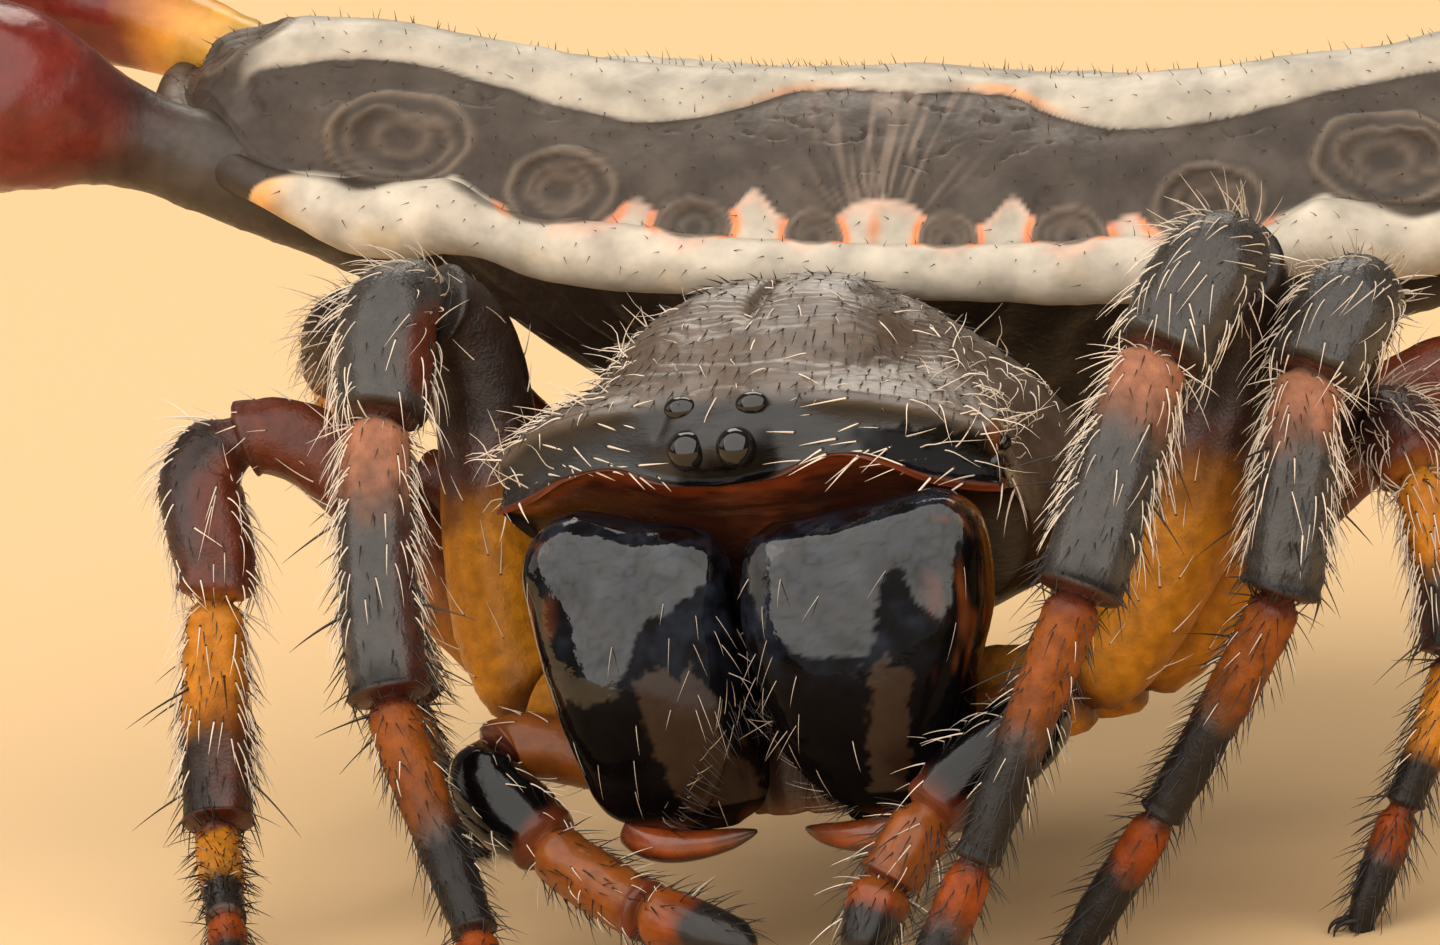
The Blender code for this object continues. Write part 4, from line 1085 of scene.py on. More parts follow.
# Blocks, top first: height, middle y, half x and half y
MOUTH_LEVELS = (
    (2.10, 0.95, 0.55, 0.16), (1.75, 0.90, 0.66, 0.22), (1.30, 0.84, 0.62, 0.20),
    (1.02, 0.78, 0.40, 0.12),
)
STERNUM_LEVELS = (
    (2.10, 2.05, 0.62, 0.70), (1.80, 2.05, 0.88, 0.90), (1.52, 2.05, 0.84, 0.86),
    (1.40, 2.05, 0.55, 0.60),
)


PEDICEL_ROWS = 30
PEDICEL_SIDES = 32
PEDICEL_RADIUS = 0.25
PEDICEL_PATH = ((0.02, 3.46, 2.39), (0.03, 3.60, 2.50), (0.06, 3.72, 2.60), (0.08, 3.86, 2.70))


def build_underside():
    points = block_grid(MOUTH_LEVELS, 60, 80, 0.8)
    x, z = points[..., 0], points[..., 2]
    split = -0.06 * hill(x, 0.05) - 0.03 * hill(abs(x) - 0.30, 0.05)
    relief = split + 0.01 * rough_noise(points, 0.2, 41)
    points = points + grid_normals(points, flip=True) * relief[..., None]
    paint = layered(points, UNDER_BROWN, (DARK_AMBER, 0.6 * (1 - smooth(1.02, 1.20, z))))
    mouth = apply(HEAD, points)
    closed_piece("mouthparts_shell", mouth, paint, "under", "dark_underside", "mouthparts")
    points = block_grid(STERNUM_LEVELS, 50, 90, 0.9)
    relief = 0.015 * rough_noise(points, 0.3, 42)
    points = points + grid_normals(points, flip=True) * relief[..., None]
    spots = smooth(0.1, 0.5, noise(points, 0.35, 43))
    paint = layered(points, UNDER_BROWN, (STERNUM_SPOT, 0.5 * spots))
    closed_piece("sternum_plate", points, paint, "under", "dark_underside", "sternum")
    t = np.linspace(0, 1, PEDICEL_ROWS)
    size = PEDICEL_RADIUS + 0.012 * np.cos(t * 40)
    points, _, _ = tube(PEDICEL_PATH, t, size, (0, 0, 2.5), PEDICEL_SIDES)
    closed_piece("pedicel_skin", points, UNDER_BROWN, "under", "dark_underside", "pedicel")


# The shield: half of its outline from the front to the rear, as x, y and rim height
ABDOMEN_MIDDLE_Y = 2.90
SHIELD_OUTLINE = (
    (0.00, 0.00, 0.10), (1.30, 0.03, 0.12), (2.60, 0.13, 0.24), (3.80, 0.32, 0.42),
    (4.70, 0.66, 0.62), (5.25, 1.30, 0.78), (5.48, 2.10, 0.90), (5.40, 2.85, 0.90),
    (4.85, 3.65, 0.76), (3.85, 4.50, 0.56), (2.80, 5.15, 0.44), (2.00, 5.50, 0.36),
    (1.00, 5.82, 0.28), (0.00, 5.95, 0.24),
)
SHIELD_CROWN = (
    (0.0, 1.36), (1.4, 1.40), (1.75, 1.29), (2.9, 0.98), (4.0, 0.76), (5.0, 0.64), (5.95, 0.52),
)
# Thickness of the rim, and how soon the dome rises behind it
RIM_THICKNESS = 0.40
RIM_FALL = 0.90
# The belly: its depth, and its width as a share of the shield's
BELLY_DEPTH = 2.35
BELLY_SHARE = 0.80
# The white roll along the front edge: distance from the middle, height of its core, radius
FRONT_ROLL = (
    (0.00, 0.19, 0.19), (1.20, 0.20, 0.21), (1.60, 0.22, 0.23), (2.10, 0.24, 0.23),
    (2.50, 0.29, 0.20), (2.78, 0.38, 0.20), (3.05, 0.45, 0.25), (3.40, 0.41, 0.27),
    (3.80, 0.42, 0.26), (4.15, 0.50, 0.19), (4.45, 0.60, 0.14), (4.80, 0.68, 0.14),
)
SIDE_ROLL = 0.15
# Height to which the white reaches over the roll, and the front edge of the second white band
FRONT_WHITE = (
    (0.00, 0.66), (0.22, 0.60), (0.47, 0.42), (0.72, 0.52), (0.90, 0.68), (1.06, 0.54), (1.32, 0.40),
    (1.56, 0.50), (1.72, 0.58), (1.90, 0.50), (2.24, 0.47), (2.50, 0.50), (2.75, 0.58), (3.08, 0.73),
    (3.40, 0.69), (3.67, 0.63), (3.90, 0.67), (4.20, 0.68), (4.42, 0.60), (4.52, 0.40),
)
SECOND_BAND = (
    (0.00, 1.38), (0.70, 1.42), (1.05, 1.18), (1.45, 1.00), (1.90, 0.92), (2.40, 0.97),
    (2.80, 1.07), (3.30, 1.16), (3.90, 1.15), (4.60, 1.00),
)
# How far the second band is raised over the dome, and how wide it is
SECOND_LIFT = (
    (0.0, 0.06), (1.3, -0.06), (2.0, -0.02), (2.6, 0.05), (3.2, 0.13), (3.6, 0.20), (4.2, 0.26),
    (4.8, 0.30), (5.3, 0.1),
)
SECOND_WIDTH = ((0.0, 0.85), (1.0, 0.80), (1.6, 0.76), (2.6, 0.82), (3.6, 0.85), (4.6, 0.92))
# Scars of the left side: x, y, radius and how many times wider they are than long
SIGILLA = (
    (0.47, 0.34, 0.21, 1.00), (1.32, 0.40, 0.22, 1.25), (2.27, 0.50, 0.33, 1.30),
    (3.43, 0.74, 0.37, 1.55), (4.75, 1.45, 0.30, 1.55),
    (0.62, 3.55, 0.24, 1.0), (0.85, 4.15, 0.20, 1.0), (1.75, 3.85, 0.22, 1.0),
    (0.62, 5.25, 0.20, 1.0), (1.35, 5.02, 0.22, 1.0), (2.55, 4.62, 0.24, 1.0), (3.75, 3.95, 0.25, 1.0),
    (4.70, 3.05, 0.24, 1.0),
)
# How much closer the columns of the shield stand at its front
FRONT_CROWDING = 0.55
# Columns of the shield, and rows under its edge, round the roll and over the dome
SHIELD_SECTORS = 900
UNDER_ROWS = 16
ROLL_ROWS = 44
DOME_ROWS = 130
# Where the roll begins and ends round its core, in degrees, and how far in the shield reaches
# below it, as a share of the outline
ROLL_ARC = (-105, 118)
UNDER_REACH = 0.72
# Where the front band ends behind the edge, and where the rear band begins and how wide it is
FRONT_BAND_Y = 1.2
REAR_BAND_Y = 4.62
REAR_BAND_WIDTH = 0.55
# How thick the lines of the scars are drawn, in mm, and how many scars in front have a halo
SCAR_LINE = 0.024
HALO_SCARS = 3


def outline_at(turn):
    """Points of the outline, in plan, and rim heights at turns of 0 to 1, front to front."""
    steps = len(SHIELD_OUTLINE) - 1
    u = np.asarray(turn, float) * 2
    sign = np.where(u <= 1, 1, -1)
    u = np.where(u <= 1, u, 2 - u) * steps
    x, y, rim = (read([(k, p[j]) for k, p in enumerate(SHIELD_OUTLINE)], u) for j in range(3))
    return sign * x, y, rim


def lid_height(rim, r):
    """Height of the surface where the shield meets the belly."""
    return mix(0.32, rim - 0.10, r**2)


def roll_at(x, y, rim):
    """Height of the core and radius of the roll at points of the outline."""
    side = abs(x)
    core = read([(p[0], p[1]) for p in FRONT_ROLL], side)
    radius = read([(p[0], p[2]) for p in FRONT_ROLL], side)
    rest = smooth(0.60, 0.90, y)
    return mix(core, rim + 0.03, rest), mix(radius, SIDE_ROLL, rest)


def dome_height(px, py, turns):
    """Height of the plain dome and distance in from its edge, over points in plan."""
    x0, y0, rim = outline_at(turns)
    bearing = np.arctan2(x0, ABDOMEN_MIDDLE_Y - y0)
    order = np.argsort(bearing)
    reach = np.hypot(x0, y0 - ABDOMEN_MIDDLE_Y)
    here = np.arctan2(px, ABDOMEN_MIDDLE_Y - py)
    full = np.interp(here, bearing[order], reach[order], period=2 * np.pi)
    edge = np.interp(here, bearing[order], rim[order], period=2 * np.pi) + RIM_THICKNESS / 2
    inset = full - np.hypot(px, py - ABDOMEN_MIDDLE_Y)
    rise = 1 - np.exp(-np.maximum(inset, 0) / RIM_FALL)
    return mix(edge, read(SHIELD_CROWN, py), rise), inset


def shield_grid(turns):
    """Points of the shield from under its edge, round the roll and over the dome."""
    x0, y0, rim = outline_at(turns)
    core, radius = roll_at(x0, y0, rim)
    plan = np.stack([x0, y0], axis=-1)
    along = np.roll(plan, -1, axis=0) - np.roll(plan, 1, axis=0)
    out = unit(np.stack([along[:, 1], -along[:, 0]], axis=-1))
    angle = np.radians(np.linspace(*ROLL_ARC, ROLL_ROWS))[:, None]
    inset = radius[None] * (1 - np.cos(angle))
    roll = np.empty((ROLL_ROWS, len(turns), 3))
    roll[..., :2] = plan[None] - out[None] * inset[..., None]
    roll[..., 2] = core[None] + radius[None] * np.sin(angle)
    middle = np.array((0.0, ABDOMEN_MIDDLE_Y))
    shelf = (plan - middle) * UNDER_REACH + middle
    k = np.linspace(0, 1, UNDER_ROWS, endpoint=False)[:, None]
    under = np.empty((UNDER_ROWS, len(turns), 3))
    under[..., :2] = mix(shelf[None], roll[0, None, :, :2], k[..., None])
    under[..., 2] = mix(lid_height(rim, UNDER_REACH)[None], roll[0, None, :, 2], k**1.5)
    s = (np.linspace(0, 1, DOME_ROWS + 1)[1:, None] ** 1.25) * 0.997
    dome = np.empty((DOME_ROWS, len(turns), 3))
    dome[..., :2] = mix(roll[-1, None, :, :2], middle, s[..., None])
    plain, depth = dome_height(dome[..., 0], dome[..., 1], turns)
    start = depth[:1] - 0.02
    dome[..., 2] = mix(roll[-1, None, :, 2] - 0.015, plain, smooth(0, 0.26, depth - start))
    side, py = abs(dome[..., 0]), dome[..., 1]
    low = read(SECOND_BAND, side)
    raised = smooth(low - 0.6, low + 0.2, py) * (1 - smooth(low + 0.8, low + 2.4, py))
    uneven = 0.10 * smooth(3.3, 4.0, dome[..., 0]) - 0.04 * hill(dome[..., 0] + 2.6, 0.8)
    dome[..., 2] += (read(SECOND_LIFT, side) + uneven) * raised * (1 - smooth(4.9, 5.3, side))
    return np.concatenate([under, roll, dome])


def sigilla_pattern(points, rows_from):
    """Height, cover, rings and orange halos of the scars, from rows_from on."""
    shape = points.shape[:2]
    height, inside, rings, halo = (np.zeros(shape) for _ in range(4))
    upper = points[rows_from:]
    uneven = 0.10 * noise(points, 0.26, 48) + 0.03 * noise(points, 0.09, 49)
    for k, (sx, sy, size, widen) in enumerate(SIGILLA):
        for sign in (1, -1):
            flat = np.hypot(upper[..., 0] - sx * sign, upper[..., 1] - sy)
            centre = upper.reshape(-1, 3)[flat.argmin()]
            apart = (points - centre) / np.array((widen, 1, 1))
            away = np.linalg.norm(apart, axis=-1) / size + uneven
            here = 1 - smooth(0.93, 1.07, away)
            thin = SCAR_LINE / size
            lines = hill(away - 0.88, thin) + 0.7 * hill(away - 0.60 + uneven, thin)
            lines = lines + 0.6 * hill(away - 0.32 - uneven, thin * 1.2)
            relief = 0.020 * lines - 0.035 * (1 - smooth(0.3, 0.9, away))
            height += relief * here * min(1, size / 0.3)
            inside = np.maximum(inside, here)
            rings = np.maximum(rings, lines.clip(max=1) * here)
            beside = abs(points[..., 0] - centre[0]) / (away * size * widen + 1e-6)
            beside = smooth(0.55, 0.85, beside) * (k < HALO_SCARS)
            halo = np.maximum(halo, hill(away - 1.08, 0.030 / size) * beside)
    for field in (height, inside, rings, halo):
        field[:rows_from] = 0
    return height, inside, rings, halo


def white_bands(points, inside):
    """Cover of the front and second white bands, ridge of the second, cover of the rear one."""
    x, y, z = (points[..., k] for k in range(3))
    side = abs(x)
    ripple = 0.025 * noise(points, 0.3, 53) + 0.004 * noise(points, 0.08, 54)
    front = 1 - smooth(-0.022, 0.022, z - read(FRONT_WHITE, side) + ripple)
    front = front * (1 - smooth(4.45, 4.55, side)) * (y < FRONT_BAND_Y) * (1 - inside)
    low = read(SECOND_BAND, side)
    width = read(SECOND_WIDTH, side)
    across = (y - low) / width + ripple
    ends = (1 - smooth(4.6, 4.95, side)) * (1 - smooth(4.25, 4.70, -x))
    second = smooth(-0.02, 0.03, across) * (1 - smooth(0.97, 1.02, across)) * ends * (1 - inside)
    ridge = np.sqrt(np.clip(1 - (2 * across - 1) ** 2, 0, 1)) * ends
    wave = 0.05 * np.sin(side * 3.1 + 0.6) + 0.03 * np.sin(side * 7.3)
    rear_low = REAR_BAND_Y - 0.25 * smooth(0.5, 2.0, side) + wave
    rear = smooth(rear_low - 0.03, rear_low + 0.03, y) * (1 - smooth(3.6, 3.9, side))
    rear_end = rear_low + REAR_BAND_WIDTH
    rear = rear * (1 - smooth(rear_end, rear_end + 0.07, y))
    return front, second, ridge, rear


def cup_skin(points, paint, flip=False):
    """A round skin, open at its first row and closed by a fan at its last."""
    skin = Skin()
    step = -1 if flip else 1
    skin.add(points[:, ::step], paint[:, ::step], closed=True)
    sectors = points.shape[1]
    skin.cap(skin.count - sectors + np.arange(sectors), points[-1], paint[-1, 0])
    return skin


def build_shield():
    even = np.linspace(0, 1, SHIELD_SECTORS, endpoint=False)
    turns = even - FRONT_CROWDING * np.sin(2 * np.pi * even) / (2 * np.pi)
    points = shield_grid(turns)
    row = np.arange(len(points))[:, None]
    x, y, z = (points[..., k] for k in range(3))
    side = abs(x)
    scars, inside, rings, halo = sigilla_pattern(points, UNDER_ROWS + ROLL_ROWS // 2)
    front, second, ridge, rear = white_bands(points, inside)
    upper = row >= UNDER_ROWS + ROLL_ROWS
    second, ridge, rear = second * upper, ridge * upper, rear * upper
    front = front * (row >= UNDER_ROWS - 3)
    white = np.clip(front + second + rear, 0, 1)
    dark = (1 - white) * (1 - inside)
    crease = abs(noise(points * np.array([1, 1.6, 1]), 0.30, 55))
    crease = crease + 0.5 * abs(noise(points, 0.13, 56))
    height = 0.12 * ridge + 0.05 * rear + scars
    height = height + 0.020 * rough_noise(points, 0.6, 51) + 0.004 * noise(points, 0.10, 52)
    height = height - 0.030 * hill(crease, 0.10) * dark * upper
    points = points + grid_normals(points) * (height * (row >= 2))[..., None]
    wear_and_reflection = smooth(-0.1, 0.6, noise(points, 0.22, 59))
    fan = noise(np.stack([np.arctan2(x, z - 0.2) * 0.6, 0 * x, 0.15 * z], axis=-1), 0.03, 57)
    streak = hill(x + 0.03, 0.48) * smooth(0.5, 0.7, z) * (y < 1.6) * dark
    ochre_blotches = smooth(0.25, 0.75, noise(points, 0.35, 60))
    middle_mark = hill(x + 0.05, 0.05) * hill(z - 0.46, 0.10) * front * upper
    tips = hill(z - read(FRONT_WHITE, side) + 0.03, 0.05) * front
    across_low = hill(y - read(SECOND_BAND, side), 0.035) * second * hill(side - 0.75, 0.35)
    paint = layered(
        points, DARK_BAND,
        (WORN_BAND, 0.55 * wear_and_reflection * dark),
        (FAN_BROWN, streak * smooth(-0.4, 0.7, fan)),
        # The raised scar rings paler: painted highlights on their ridges
        (RING_HIGHLIGHT_BROWN, 0.70 * rings),
        (CREAM, white),
        # The second white band a little darker than the front one: painted shade
        (SHADED_SECOND_CREAM, second),
        # Ochre blotches towards the bottom of the front white band
        (LOW_ROLL_OCHRE, 0.5 * ochre_blotches * front * smooth(0.30, 0.12, z - 0.05 * side)),
        (HALO_ORANGE, 0.95 * halo * front),
        (MIDDLE_ORANGE, 0.8 * middle_mark),
        (TOOTH_PINK, 0.35 * tips * (side < 2.3)),
        (EDGE_ORANGE, 0.9 * across_low),
        (END_ORANGE, 0.8 * hill(side - 4.38, 0.16) * front),
    )
    skin = cup_skin(apply(ABDOMEN, points), paint)
    skin_object("shield_shell", skin, MATS["shield"], "shield", "abdomen")
    return skin


# Spines of the left side: root, tip, widest radius and bend, on the shield's own axes
SPINES = (
    ("front", (3.30, 1.38, -0.02), (7.75, 0.34, 1.60), 0.66, 0.18),
    ("median", (4.10, 2.55, 0.72), (8.75, 3.35, 1.95), 0.56, 0.24),
    ("rear", (1.75, 4.65, 0.22), (2.55, 6.65, -0.32), 0.26, -0.02),
)
# Radius along a spine, as a share of its widest
FRONT_SPINE_TAPER = (
    (0.0, 0.50), (0.20, 0.55), (0.35, 0.53), (0.42, 0.50), (0.50, 0.60), (0.58, 0.84), (0.66, 1.0),
    (0.75, 0.94), (0.84, 0.72), (0.92, 0.40), (0.97, 0.17), (1.0, 0.03),
)
SPINE_TAPER = (
    (0.0, 0.50), (0.20, 0.54), (0.30, 0.57), (0.38, 0.68), (0.46, 0.86), (0.54, 1.0), (0.64, 0.97),
    (0.75, 0.78), (0.86, 0.50), (0.95, 0.20), (1.0, 0.03),
)
SPINE_BANDS = {
    "front": ((0.0, DARK_BAND), (0.40, DARK_BAND), (0.49, SPINE_ROOT), (0.60, SPINE_RED),
              (0.86, SPINE_END), (1.0, INK)),
    "median": ((0.0, CREAM), (0.18, SPINE_GOLD), (0.26, SPINE_ORANGE), (0.34, SPINE_RED),
               (0.82, SPINE_END), (1.0, INK)),
    "rear": ((0.0, DARK_BAND), (0.25, DARK_BAND), (0.42, SPINE_DARK_RED), (0.82, SPINE_END),
             (1.0, INK)),
}
SPINE_ROWS = 120
SPINE_SIDES = 48


def build_spines():
    for name, root, tip, radius, bend in SPINES:
        taper = FRONT_SPINE_TAPER if name == "front" else SPINE_TAPER
        for side, sign in SIDES:
            start, end = mirrored(root, sign), mirrored(tip, sign)
            lift = np.array((0, 0, bend))
            span = (start, mix(start, end, 0.33) + lift, mix(start, end, 0.67) + lift, end)
            t = 1 - (1 - np.linspace(0, 1, SPINE_ROWS)) ** 1.2
            below = start - (0, 0, 5)
            points, ring, _ = tube(span, t, read(taper, t) * radius, below, SPINE_SIDES)
            swell = 0.020 * rough_noise(points, 0.35, 61)
            swell = swell + 0.010 * hill(abs(noise(points, 0.25, 62)), 0.15)
            points = points + ring * (swell * smooth(1.0, 0.8, t)[:, None])[..., None]
            paint = ramp(SPINE_BANDS[name], t[:, None] + noise(points, 0.5, 63) * 0.05)
            closed_piece(f"spine_{name}_{side}", apply(ABDOMEN, points), paint, "spine", "shield")


BELLY_SECTORS = 300
BELLY_ROWS = 110
BELLY_FOLDS = 46


def build_belly():
    turns = np.linspace(0, 1, BELLY_SECTORS, endpoint=False)
    x0, y0, rim = outline_at(turns)
    r = np.linspace(1, 0.004, BELLY_ROWS)[:, None]
    px = x0[None] * BELLY_SHARE * r
    py = (y0 - ABDOMEN_MIDDLE_Y)[None] * BELLY_SHARE * r + ABDOMEN_MIDDLE_Y
    lid = lid_height(rim[None], r * BELLY_SHARE) - 0.03
    drop = BELLY_DEPTH * (1 - r**1.7)
    z = lid - (0.08 + drop * (0.75 + 0.25 * (1 - r))) * smooth(1.0, 0.985, r)
    points = np.stack(np.broadcast_arrays(px, py, z), axis=-1)
    normals = grid_normals(points)
    folds = np.sin(turns[None] * 2 * np.pi * BELLY_FOLDS + 2.0 * noise(points, 0.5, 71))
    depth = smooth(1.0, 0.85, r) * smooth(0.15, 0.45, r)
    relief = 0.030 * folds * depth + 0.040 * rough_noise(points, 0.5, 72) * smooth(1.0, 0.9, r)
    points = points + normals * (relief * np.sign(-normals[..., 2:3].mean()))[..., None]
    spots = smooth(0.45, 0.62, noise(points, 0.45, 73)) * depth * smooth(1.6, 2.6, points[..., 1])
    paint = layered(points, BELLY_BROWN, (BELLY_SPOT, 0.8 * spots))
    skin = cup_skin(apply(ABDOMEN, points), paint, flip=True)
    skin_object("belly_wall", skin, MATS["belly"], "belly_skin", "belly")


SPINNERETS_MIDDLE_Y = 3.04
SPINNERET_CONES = 6
SPINNERET_LEVELS = (
    (-2.10, 3.0, 0.52, 0.52), (-2.42, 3.02, 0.46, 0.46), (-2.62, 3.05, 0.30, 0.32),
    (-2.78, 3.08, 0.14, 0.16),
)


def build_spinnerets():
    points = block_grid(SPINNERET_LEVELS, 60, 96, 0.95)
    x, y, z = points[..., 0], points[..., 1], points[..., 2]
    around = np.arctan2(y - SPINNERETS_MIDDLE_Y, x)
    cones = 0.045 * np.cos(SPINNERET_CONES * around) * (1 - smooth(-2.60, -2.40, z))
    rings = 0.018 * np.sin(z * 60)
    points = apply(ABDOMEN, points + grid_normals(points, flip=True) * (cones + rings)[..., None])
    closed_piece("spinneret_cones", points, UNDER_BROWN, "under", "dark_underside", "spinnerets")


# Bristles: curved tapering hairs, each in a small dark socket
TRIES_PER_HAIR = 6
HAIR_SIDES = 4
HAIR_STEPS = 6
SOCKET_SIDES = 6
# Rings of a socket: their radius and height, in radii of the hair
SOCKET_LEVELS = ((1.5, -0.6), (1.0, 0.7))
# Size of the place of one hair, and of one socket, on the map
HAIR_PATCH = 0.003
SOCKET_PATCH = 0.0015
# How unevenly the hairs are lifted, in degrees, and how deep they are sunk, in radii
LIFT_SPREAD = 7
HAIR_SINK = 0.8


def scatter(skin, count, seed, keep, gap):
    """Roots spread over a skin where keep(points, normals) allows, at least gap apart."""
    points, quads, _, uv, flow = skin.arrays()
    quads = quads[quads[:, 3] >= 0]
    a, b, d = points[quads[:, 0]], points[quads[:, 1]], points[quads[:, 3]]
    cross = np.cross(b - a, d - a)
    area = np.linalg.norm(cross, axis=1)
    normals = cross / np.maximum(area, 1e-12)[:, None]
    weight = area * keep(a, normals)
    rng = np.random.default_rng(seed)
    tries = count * TRIES_PER_HAIR
    pick = np.searchsorted(np.cumsum(weight), rng.random(tries) * weight.sum())
    pick = pick.clip(max=len(quads) - 1)
    i, j = rng.random((2, tries, 1))
    place = a[pick] + (b[pick] - a[pick]) * i + (d[pick] - a[pick]) * j
    chosen = []
    cells = {}
    for n, p in enumerate(place):
        key = tuple(np.floor(p / gap).astype(int))
        near = (
            place[m]
            for dx in (-1, 0, 1) for dy in (-1, 0, 1) for dz in (-1, 0, 1)
            for m in cells.get((key[0] + dx, key[1] + dy, key[2] + dz), ())
        )
        if all(((q - p) ** 2).sum() > gap * gap for q in near):
            cells.setdefault(key, []).append(n)
            chosen.append(n)
            if len(chosen) >= count:
                break
    at = np.array(chosen)
    corner = quads[pick[at], 0]
    return place[at], normals[pick[at]], flow[corner], uv[corner]


def axes_across(direction):
    """Two unit directions square to each direction."""
    side = unit(np.cross(direction, np.roll(direction, 1, axis=-1) + 0.3))
    return side, np.cross(direction, side)


def hair_mesh(roots, directions, bends, lengths, radii, uv, colours, waves=None):
    """Points, faces, colours and map of many hairs at once, as tapering square tubes."""
    count = len(roots)
    t = np.linspace(0, 1, HAIR_STEPS + 1)
    along = roots[:, None] + directions[:, None] * (lengths[:, None, None] * t[None, :, None])
    along = along + bends[:, None] * (lengths[:, None, None] * (t[None, :, None] ** 2))
    if waves is not None:
        swing = lengths[:, None] * np.sin(t[None] * 7.0) * t[None]
        along = along + waves[:, None] * swing[..., None]
    side, up = axes_across(unit(np.gradient(along, axis=1)))
    size = radii[:, None] * (1 - t[None] ** 1.6 * 0.90)
    points = along[:, :, None] + unit_rings(side, up, HAIR_SIDES) * size[:, :, None, None]
    grid, faces = tube_faces(HAIR_STEPS + 1, HAIR_SIDES)
    faces = np.concatenate([faces, grid[-1:]])
    quads = (np.arange(count)[:, None, None] * grid.size + faces[None]).reshape(-1, 4)
    paint = np.repeat(colours, grid.size, axis=0)
    across = (np.arange(HAIR_SIDES) / HAIR_SIDES - 0.5)[None] * HAIR_PATCH
    patch = np.stack(np.broadcast_arrays(across, (t - 0.5)[:, None] * HAIR_PATCH), axis=-1)
    spots = (uv[:, None, None] + patch[None]).reshape(-1, 2)
    return points.reshape(-1, 3), quads, paint, spots


def socket_mesh(roots, normals, radii, uv):
    """A small dark cone round each root."""
    ring = unit_rings(*axes_across(normals), SOCKET_SIDES)
    wide = radii[:, None, None]
    levels = [
        roots[:, None] + ring * (wide * size) + normals[:, None] * (wide * height)
        for size, height in SOCKET_LEVELS
    ]
    points = np.stack(levels, axis=1)
    grid, faces = tube_faces(len(SOCKET_LEVELS), SOCKET_SIDES)
    top = grid[-1]
    faces = np.concatenate([faces, top[[[0, 1, 2, 3], [0, 3, 4, 5]]]])
    quads = (np.arange(len(roots))[:, None, None] * grid.size + faces[None]).reshape(-1, 4)
    paint = np.broadcast_to(np.array(SOCKET), (len(roots) * grid.size, 4))
    a = np.arange(SOCKET_SIDES) * 2 * np.pi / SOCKET_SIDES
    patch = np.stack([np.cos(a), np.sin(a)], axis=-1) * SOCKET_PATCH
    spots = (uv[:, None, None] + patch[None, None]).repeat(len(SOCKET_LEVELS), axis=1)
    return points.reshape(-1, 3), quads, paint, spots.reshape(-1, 2)


class Coat:
    """Hairs and sockets of one skin, joined into one piece."""

    def __init__(self, name, slot):
        self.name, self.slot, self.parts, self.count = name, slot, [], 0

    def put(self, points, quads, paint, uv):
        points[:, 2] = points[:, 2].clip(min=0.004)
        self.parts.append((points, np.where(quads >= 0, quads + self.count, -1), paint, uv))
        self.count += len(points)

    def grow(self, skin, count, seed, keep, gap, length, radius, lift, colour, bend, spread,
             drift=None, curl=0.0, sockets=True):
        """Adds hairs. lift is the angle from the skin, drift a direction mixed into the flow."""
        roots, normals, flow, uv = scatter(skin, count, seed, keep, gap)
        rng = np.random.default_rng(seed + 7)
        many = len(roots)
        if drift is not None:
            drift = np.asarray(drift, float)
            flow = unit(drift - normals * (normals @ drift)[:, None])
        flow = unit(flow + rng.normal(0, spread, (many, 3)))
        angle = np.radians(lift + rng.normal(0, LIFT_SPREAD, many))[:, None]
        directions = unit(flow * np.cos(angle) + normals * np.sin(angle))
        lengths = rng.uniform(length[0], length[1], many)
        bends = flow * (bend * rng.uniform(0.5, 1.3, many))[:, None] - normals * (0.5 * bend)
        bends = bends + rng.normal(0, 1, (many, 3)) * curl
        waves = rng.normal(0, 0.25 * curl, (many, 3)) if curl else None
        size = radius * rng.uniform(0.8, 1.2, many)
        colours = np.tile(np.array(colour), (many, 1))
        colours[:, :3] *= rng.uniform(0.8, 1.15, (many, 1))
        sunk = roots - normals * radius * HAIR_SINK
        self.put(*hair_mesh(sunk, directions, bends, lengths, size, uv, colours, waves))
        if sockets:
            self.put(*socket_mesh(roots, normals, size * 1.1, uv))

    def make(self):
        points, quads, paint, uv = (np.concatenate([part[k] for part in self.parts]) for k in range(4))
        return finish_piece(mesh_object(self.name, points, quads, paint, MATS["hair"], uv), self.slot)


HEAD_BACK = np.linalg.inv(HEAD)


def head_zone(low_z, high_z, low_y=-1.0, high_y=3.2, inside=None):
    """A test that keeps the points of the head between these heights over the bench line."""
    def keep(points, normals):
        p = apply(HEAD_BACK, points)
        over = p[:, 2] - read(BENCH_LINE, abs(p[:, 0]))
        fits = (over > low_z) & (over < high_z) & (p[:, 1] > low_y) & (p[:, 1] < high_y)
        fits = fits & (normals[:, 2] > -0.3)
        return fits * (1.0 if inside is None else inside(p, normals))
    return keep


# Zones of the head, over points p in its own axes
def flank(p, normals):
    outward = np.where(p[:, 0] > 0, smooth(1.0, 1.45, p[:, 0]), smooth(0.75, 1.1, -p[:, 0]))
    return outward * smooth(0.25, 0.5, abs(normals[:, 0])) * smooth(3.2, 3.5, p[:, 2])


def shoulder(p, normals):
    return (abs(p[:, 0]) > 0.55) * (abs(p[:, 0]) < 1.4) * (p[:, 2] < 4.1)


def lip_zone(p, normals):
    return hill(p[:, 2] - lip_height(p[:, 0] / HEAD_HALF_WIDTH) - 0.02, 0.05) * (abs(p[:, 0]) > 0.45)


def on_side(sign, zone):
    return lambda p, normals: zone(p, normals) * (p[:, 0] * sign > 0)


